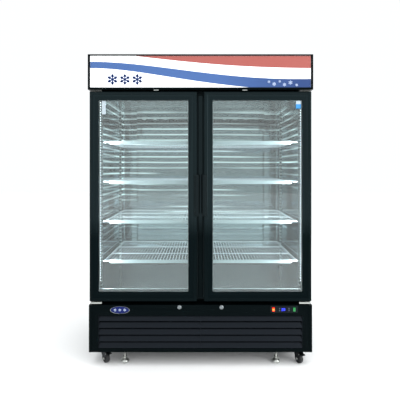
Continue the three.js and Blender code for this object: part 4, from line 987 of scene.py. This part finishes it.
inner_x, inner_back = LINER_HIGH[0] - SKIN, LINER_HIGH[1] - SKIN
front_y = LINER_LOW[1]
corner = np.radians(np.linspace(0, 90, 7))
bend_radius = 14.0


def liner_line(out):
    """The liner's wall seen from above, moved out by a distance: forward, a quarter-circle bend, across the
    back, and the same mirrored."""
    radius = bend_radius + out
    x = inner_x - bend_radius + radius * np.cos(corner)
    y = inner_back - bend_radius + radius * np.sin(corner)
    half = np.concatenate([[[inner_x + out, front_y]], np.stack([x, y], 1)])
    return np.concatenate([half, half[::-1] * [-1, 1]])


wall_outline = np.concatenate([liner_line(0), liner_line(SKIN)[::-1]])
walls = prism(wall_outline, 2, (LINER_LOW[2] + SKIN, LINER_HIGH[2] - SKIN))
ends = boxes(
    [
        [[-inner_x - SKIN, front_y, LINER_LOW[2]], [inner_x + SKIN, LINER_HIGH[1], LINER_LOW[2] + SKIN]],
        [[-inner_x - SKIN, front_y, LINER_HIGH[2] - SKIN], [inner_x + SKIN, LINER_HIGH[1], LINER_HIGH[2]]],
    ]
)
piece("liner_walls", walls, stainless, "cabinet", ["inner_liner"], "stainless")
# The floor and ceiling take the darker copy of the sheet: painted shade.
piece("liner_floor_and_ceiling", ends, shaded_flat_stainless, "cabinet", ["inner_liner"], "stainless")
sill = np.array([[0.5, SKIN], [26, SKIN], [26, 3], [4, 9], [0.5, 9]]) + [front_y, LINER_LOW[2]]
floor_sill = prism(sill, 0, (-inner_x + 0.3, inner_x - 0.3))
piece("floor_sill", floor_sill, white_pvc, "cabinet", slot="acrylic", bevel=0.6)

# Light strips stand upright just behind the opening's edges: a channel with a chip every 16 mm.
strip_z = np.arange(LINER_LOW[2] + 60, LINER_HIGH[2] - 40, 16.0)
strip_x = inner_x - 7
channel, chips = [], []
for sx in (-1, 1):
    xs = sorted((sx * strip_x, sx * (inner_x - 0.3)))
    channel.append([[xs[0], front_y + 4, LINER_LOW[2] + 40], [xs[1], front_y + 14, LINER_HIGH[2] - 25]])
    cs = sorted((sx * (strip_x - 1.2), sx * strip_x))
    chips += [[[cs[0], front_y + 6.5, z - 2.5], [cs[1], front_y + 11.5, z + 2.5]] for z in strip_z]
piece("light_channels", boxes(channel), spacer_metal, "cabinet", slot="galvanised", bevel=0.6)
piece("light_chips", boxes(chips), led_glow, "cabinet", slot="lamp")

# A guard of wire rings and four spokes over the evaporator fan's hole.
fan_low, fan_high = low_high("evaporator_fan")
hub_x, hub_z = (fan_low[0] + fan_high[0]) / 2, (fan_low[2] + fan_high[2]) / 2
guard_y = DUCT_LOW[1] + 14 - 2.2
hoop = np.radians(np.arange(0, 360, 45))
wire = 1.1 * np.stack([np.cos(hoop), np.sin(hoop)], 1)
rings = [turned(wire + [r, guard_y], 1, (hub_x, 0, hub_z), 48, closed=True) for r in (16, 31, 46, 61, 76)]
spoke = np.array([[1, 1], [-1, 1], [-1, -1], [1, -1]]) * 56.0
starts = np.insert(spoke * 0.15, 1, guard_y + 1.6, axis=1) + [hub_x, 0, hub_z]
stops = np.insert(spoke, 1, guard_y + 1.6, axis=1) + [hub_x, 0, hub_z]
piece("fan_guard", [*rings, rods(starts, stops, 1.1)], epoxy_wire, "cabinet", slot="white_coat")

# ---------------------------------------------------------------- shelves

# A ticket strip's section, from the shelf's front edge and deck: a lip over the wire, a channel and a hook.
ticket_lip = [[-1.9, 1.6], [-1.4, 2], [-0.4, 2], [0.6, -1], [-0.6, -3], [-0.6, -17]]
ticket_hook = [[0.6, -19], [-0.6, -20], [-1.9, -19.4], [-1.4, -17], [-1.4, -2]]
ticket_section = np.array(ticket_lip + ticket_hook)
for side, mirror in SIDES:
    for level in range(1, 5):
        node = f"shelf_right_{level}"
        deck = low_high(node)[1][2] - 2
        x0, x1, y0, y1 = 38.0, 622.0, -300.0, 282.0  # the wire panel, without its clips
        thick, fine = 3.0, 1.6
        rail_z = deck - 2 * fine - thick
        left, right, near, far = x0 + 3, x1 - 3, y0 + 3, y1 - 3
        bars = [([left, y, rail_z], [right, y, rail_z]) for y in (near, far, -106, 88)]
        bars += [([x, near, rail_z], [x, far, rail_z]) for x in (left, right)]
        across_x = np.linspace(x0 + 22, x1 - 22, 28)
        wire_from = np.insert(np.full((28, 2), [y0 + 1.5, deck - fine]), 0, across_x, axis=1)
        wire_to = wire_from * [1, 0, 1] + [0, y1 - 1.5, 0]
        wires = [rods(*zip(*bars), thick, 10), rods(wire_from, wire_to, fine, 6)]
        at_level = f"{side}_{level}"
        shelf = [f"shelf_{at_level}"]
        piece(f"wire_shelf_{at_level}", wires, epoxy_wire, "cabinet", shelf, "white_coat", mirror=mirror)
        ticket = prism(ticket_section + [y0, deck], 0, (x0 + 39, x1 - 39))
        piece(f"ticket_strip_{at_level}", ticket, white_pvc, "cabinet", slot="white_coat", mirror=mirror)
        clip_places = [(x1 - 2, 637.4, -286, -264), (x1 - 2, 637.4, 238, 260)]
        clip_places += [(28.4, x0 + 3, -296, -278), (28.4, x0 + 3, 262, 280)]
        clips = boxes([[[a, b + 2, rail_z - 5], [c, d - 2, rail_z - 3.2]] for a, c, b, d in clip_places])
        hooks = boxes([[[a, b + 2, rail_z - 5], [a + 1.6, d - 2, rail_z + 4]] for a, c, b, d in clip_places])
        extras = {"slot": "zinc", "bevel": 0.3, "mirror": mirror}
        piece(f"shelf_clips_{at_level}", [clips, hooks], zinc_plate, "cabinet", **extras)

# ---------------------------------------------------------------- casters and feet

caster_yaw = {"front_left": -130, "front_right": -155, "rear_left": -20, "rear_right": 15}
plate_top = base_low[2] - 0.3
trail, wheel_half = 20.0, 11.0
wheel_r = joint_at["wheel_front_left_roll"][2]
brake_pivot = (37, joint_at["brake_front_left_press"][2])
upper_race = [[2, 0], [19, 0], [19, -3.4], [17.4, -4.2]]
lower_race = [[18.6, -5.4], [18.6, -9.6], [16.6, -11.8], [2, -11.8]]
race = np.array(upper_race + lower_race) + [0, plate_top]
hub = [[5, 0], [11, 0], [12.4, 2.4], [18.6, 2.8]]
rubber = [[20, 0.6], [26.2, 0.2], [28.6, 1.4], [29.8, 4.6], [wheel_r, wheel_half]]
tyre = [[r, along - wheel_half] for r, along in hub + rubber]
tyre += [[r, -along] for r, along in tyre[::-1][1:]]
axle_nut = [[7.6, 15.6], [7.6, 19.4], [6.6, 20.4], [0.3, 20.4]]
for name, yaw in caster_yaw.items():
    place = {"yaw": yaw, "at": joint_at[f"caster_{name}_swivel"] * [1, 1, 0]}
    braked = name.startswith("front")
    tail = [[44, 57], [44.6, 66], [42, 70]] if braked else []
    toe = [[8, 27], [13, 22.6], [20, 21], [27, 22.6], [31, 28], [32, 36]]
    leg = [[-18, 81.7], [-17, 70], *toe, *tail, [20, 81.7]]
    legs = [prism(leg, 0, (12.5, 15.5)), prism(leg, 0, (-15.5, -12.5))]
    bridge = prism(rounded((-15.5, -18), (15.5, 20), 3), 2, (77.8, 81.6))
    axle = turned([[3.8, -18.5], [3.8, 18.5]], 0, (0, trail, wheel_r), 24)
    nuts = [turned([[r, s * along] for r, along in axle_nut], 0, (0, trail, wheel_r), 6) for s in (-1, 1)]
    head = turned(race, 2, (0, 0, 0), 48)
    bolts = [axle, *nuts]
    if braked:
        bolts.append(turned([[2.4, -16.4], [2.4, 16.4]], 0, (0, *brake_pivot), 16))
    fork = [*legs, bridge, head]
    caster, node = f"caster_{name}", [f"caster_fork_{name}"]
    piece(f"{caster}_fork", fork, black_zinc, caster, node, "zinc", bevel=0.4, **place)
    piece(f"{caster}_bolts", bolts, zinc_plate, caster, node, "zinc", bevel=0.4, **place)
    wheel = turned(tyre, 0, (0, trail, wheel_r), 64, closed=True)
    node = [f"caster_wheel_{name}"]
    piece(f"{caster}_wheel", wheel, tread, f"wheel_{name}", node, "caster_rubber", **place)
    if braked:
        pedal_outline = [[44.6, 64.2], [60, 64.4], [63.6, 63.2], [64, 64.6], [60.4, 67], [44.6, 67]]
        pedal = prism(pedal_outline, 0, (-14, 14))
        arm_outline = [[32, 58], [46, 58.6], [46, 66.8], [33, 68]]
        arm = prism(arm_outline, 0, (-12, 12))
        treads = boxes([[[-11, 48 + 4 * i, 66.6], [11, 49.6 + 4 * i, 67.8]] for i in range(4)])
        brake, node = [pedal, arm, treads], [f"caster_brake_{name}"]
        extras = {"slot": "black_plastic", "bevel": 0.5, **place}
        piece(f"{caster}_brake", brake, black_abs, f"brake_{name}", node, **extras)

bell = [[1, 0], [22, 0], [25.4, 1.4], [27, 5], [26.6, 8.6]]
bell += [[24, 13], [19, 18.4], [14.6, 22], [13, 24], [7.4, 25]]
thread_z = np.arange(26, 127, 2.0)
thread = [p for z in thread_z for p in ([7.4, z], [8.0, z + 1.0])]
screw_foot = bell + thread + [[6.4, 128], [1, 128]]
nut_profile = [[8.2, 25.4], [13.4, 25.4], [14.2, 26.2], [14.2, 33.2], [13.4, 34], [8.2, 34]]
foot_at = (foot_x, foot_y, foot_low[2])
foot_parts = [turned(screw_foot, 2, foot_at, 40), turned(nut_profile, 2, foot_at, 6, closed=True)]
for side, mirror in SIDES:
    extras = {"slot": "galvanised", "mirror": mirror}
    feet = [f"levelling_foot_{side}"]
    piece(f"screw_foot_{side}", foot_parts, zinc_plate, f"foot_{side}", feet, **extras)

# ---------------------------------------------------------------- sizes


def plain(box):
    """A box as plain lists of numbers."""
    return [[round(float(v), 6) for v in corner] for corner in box]
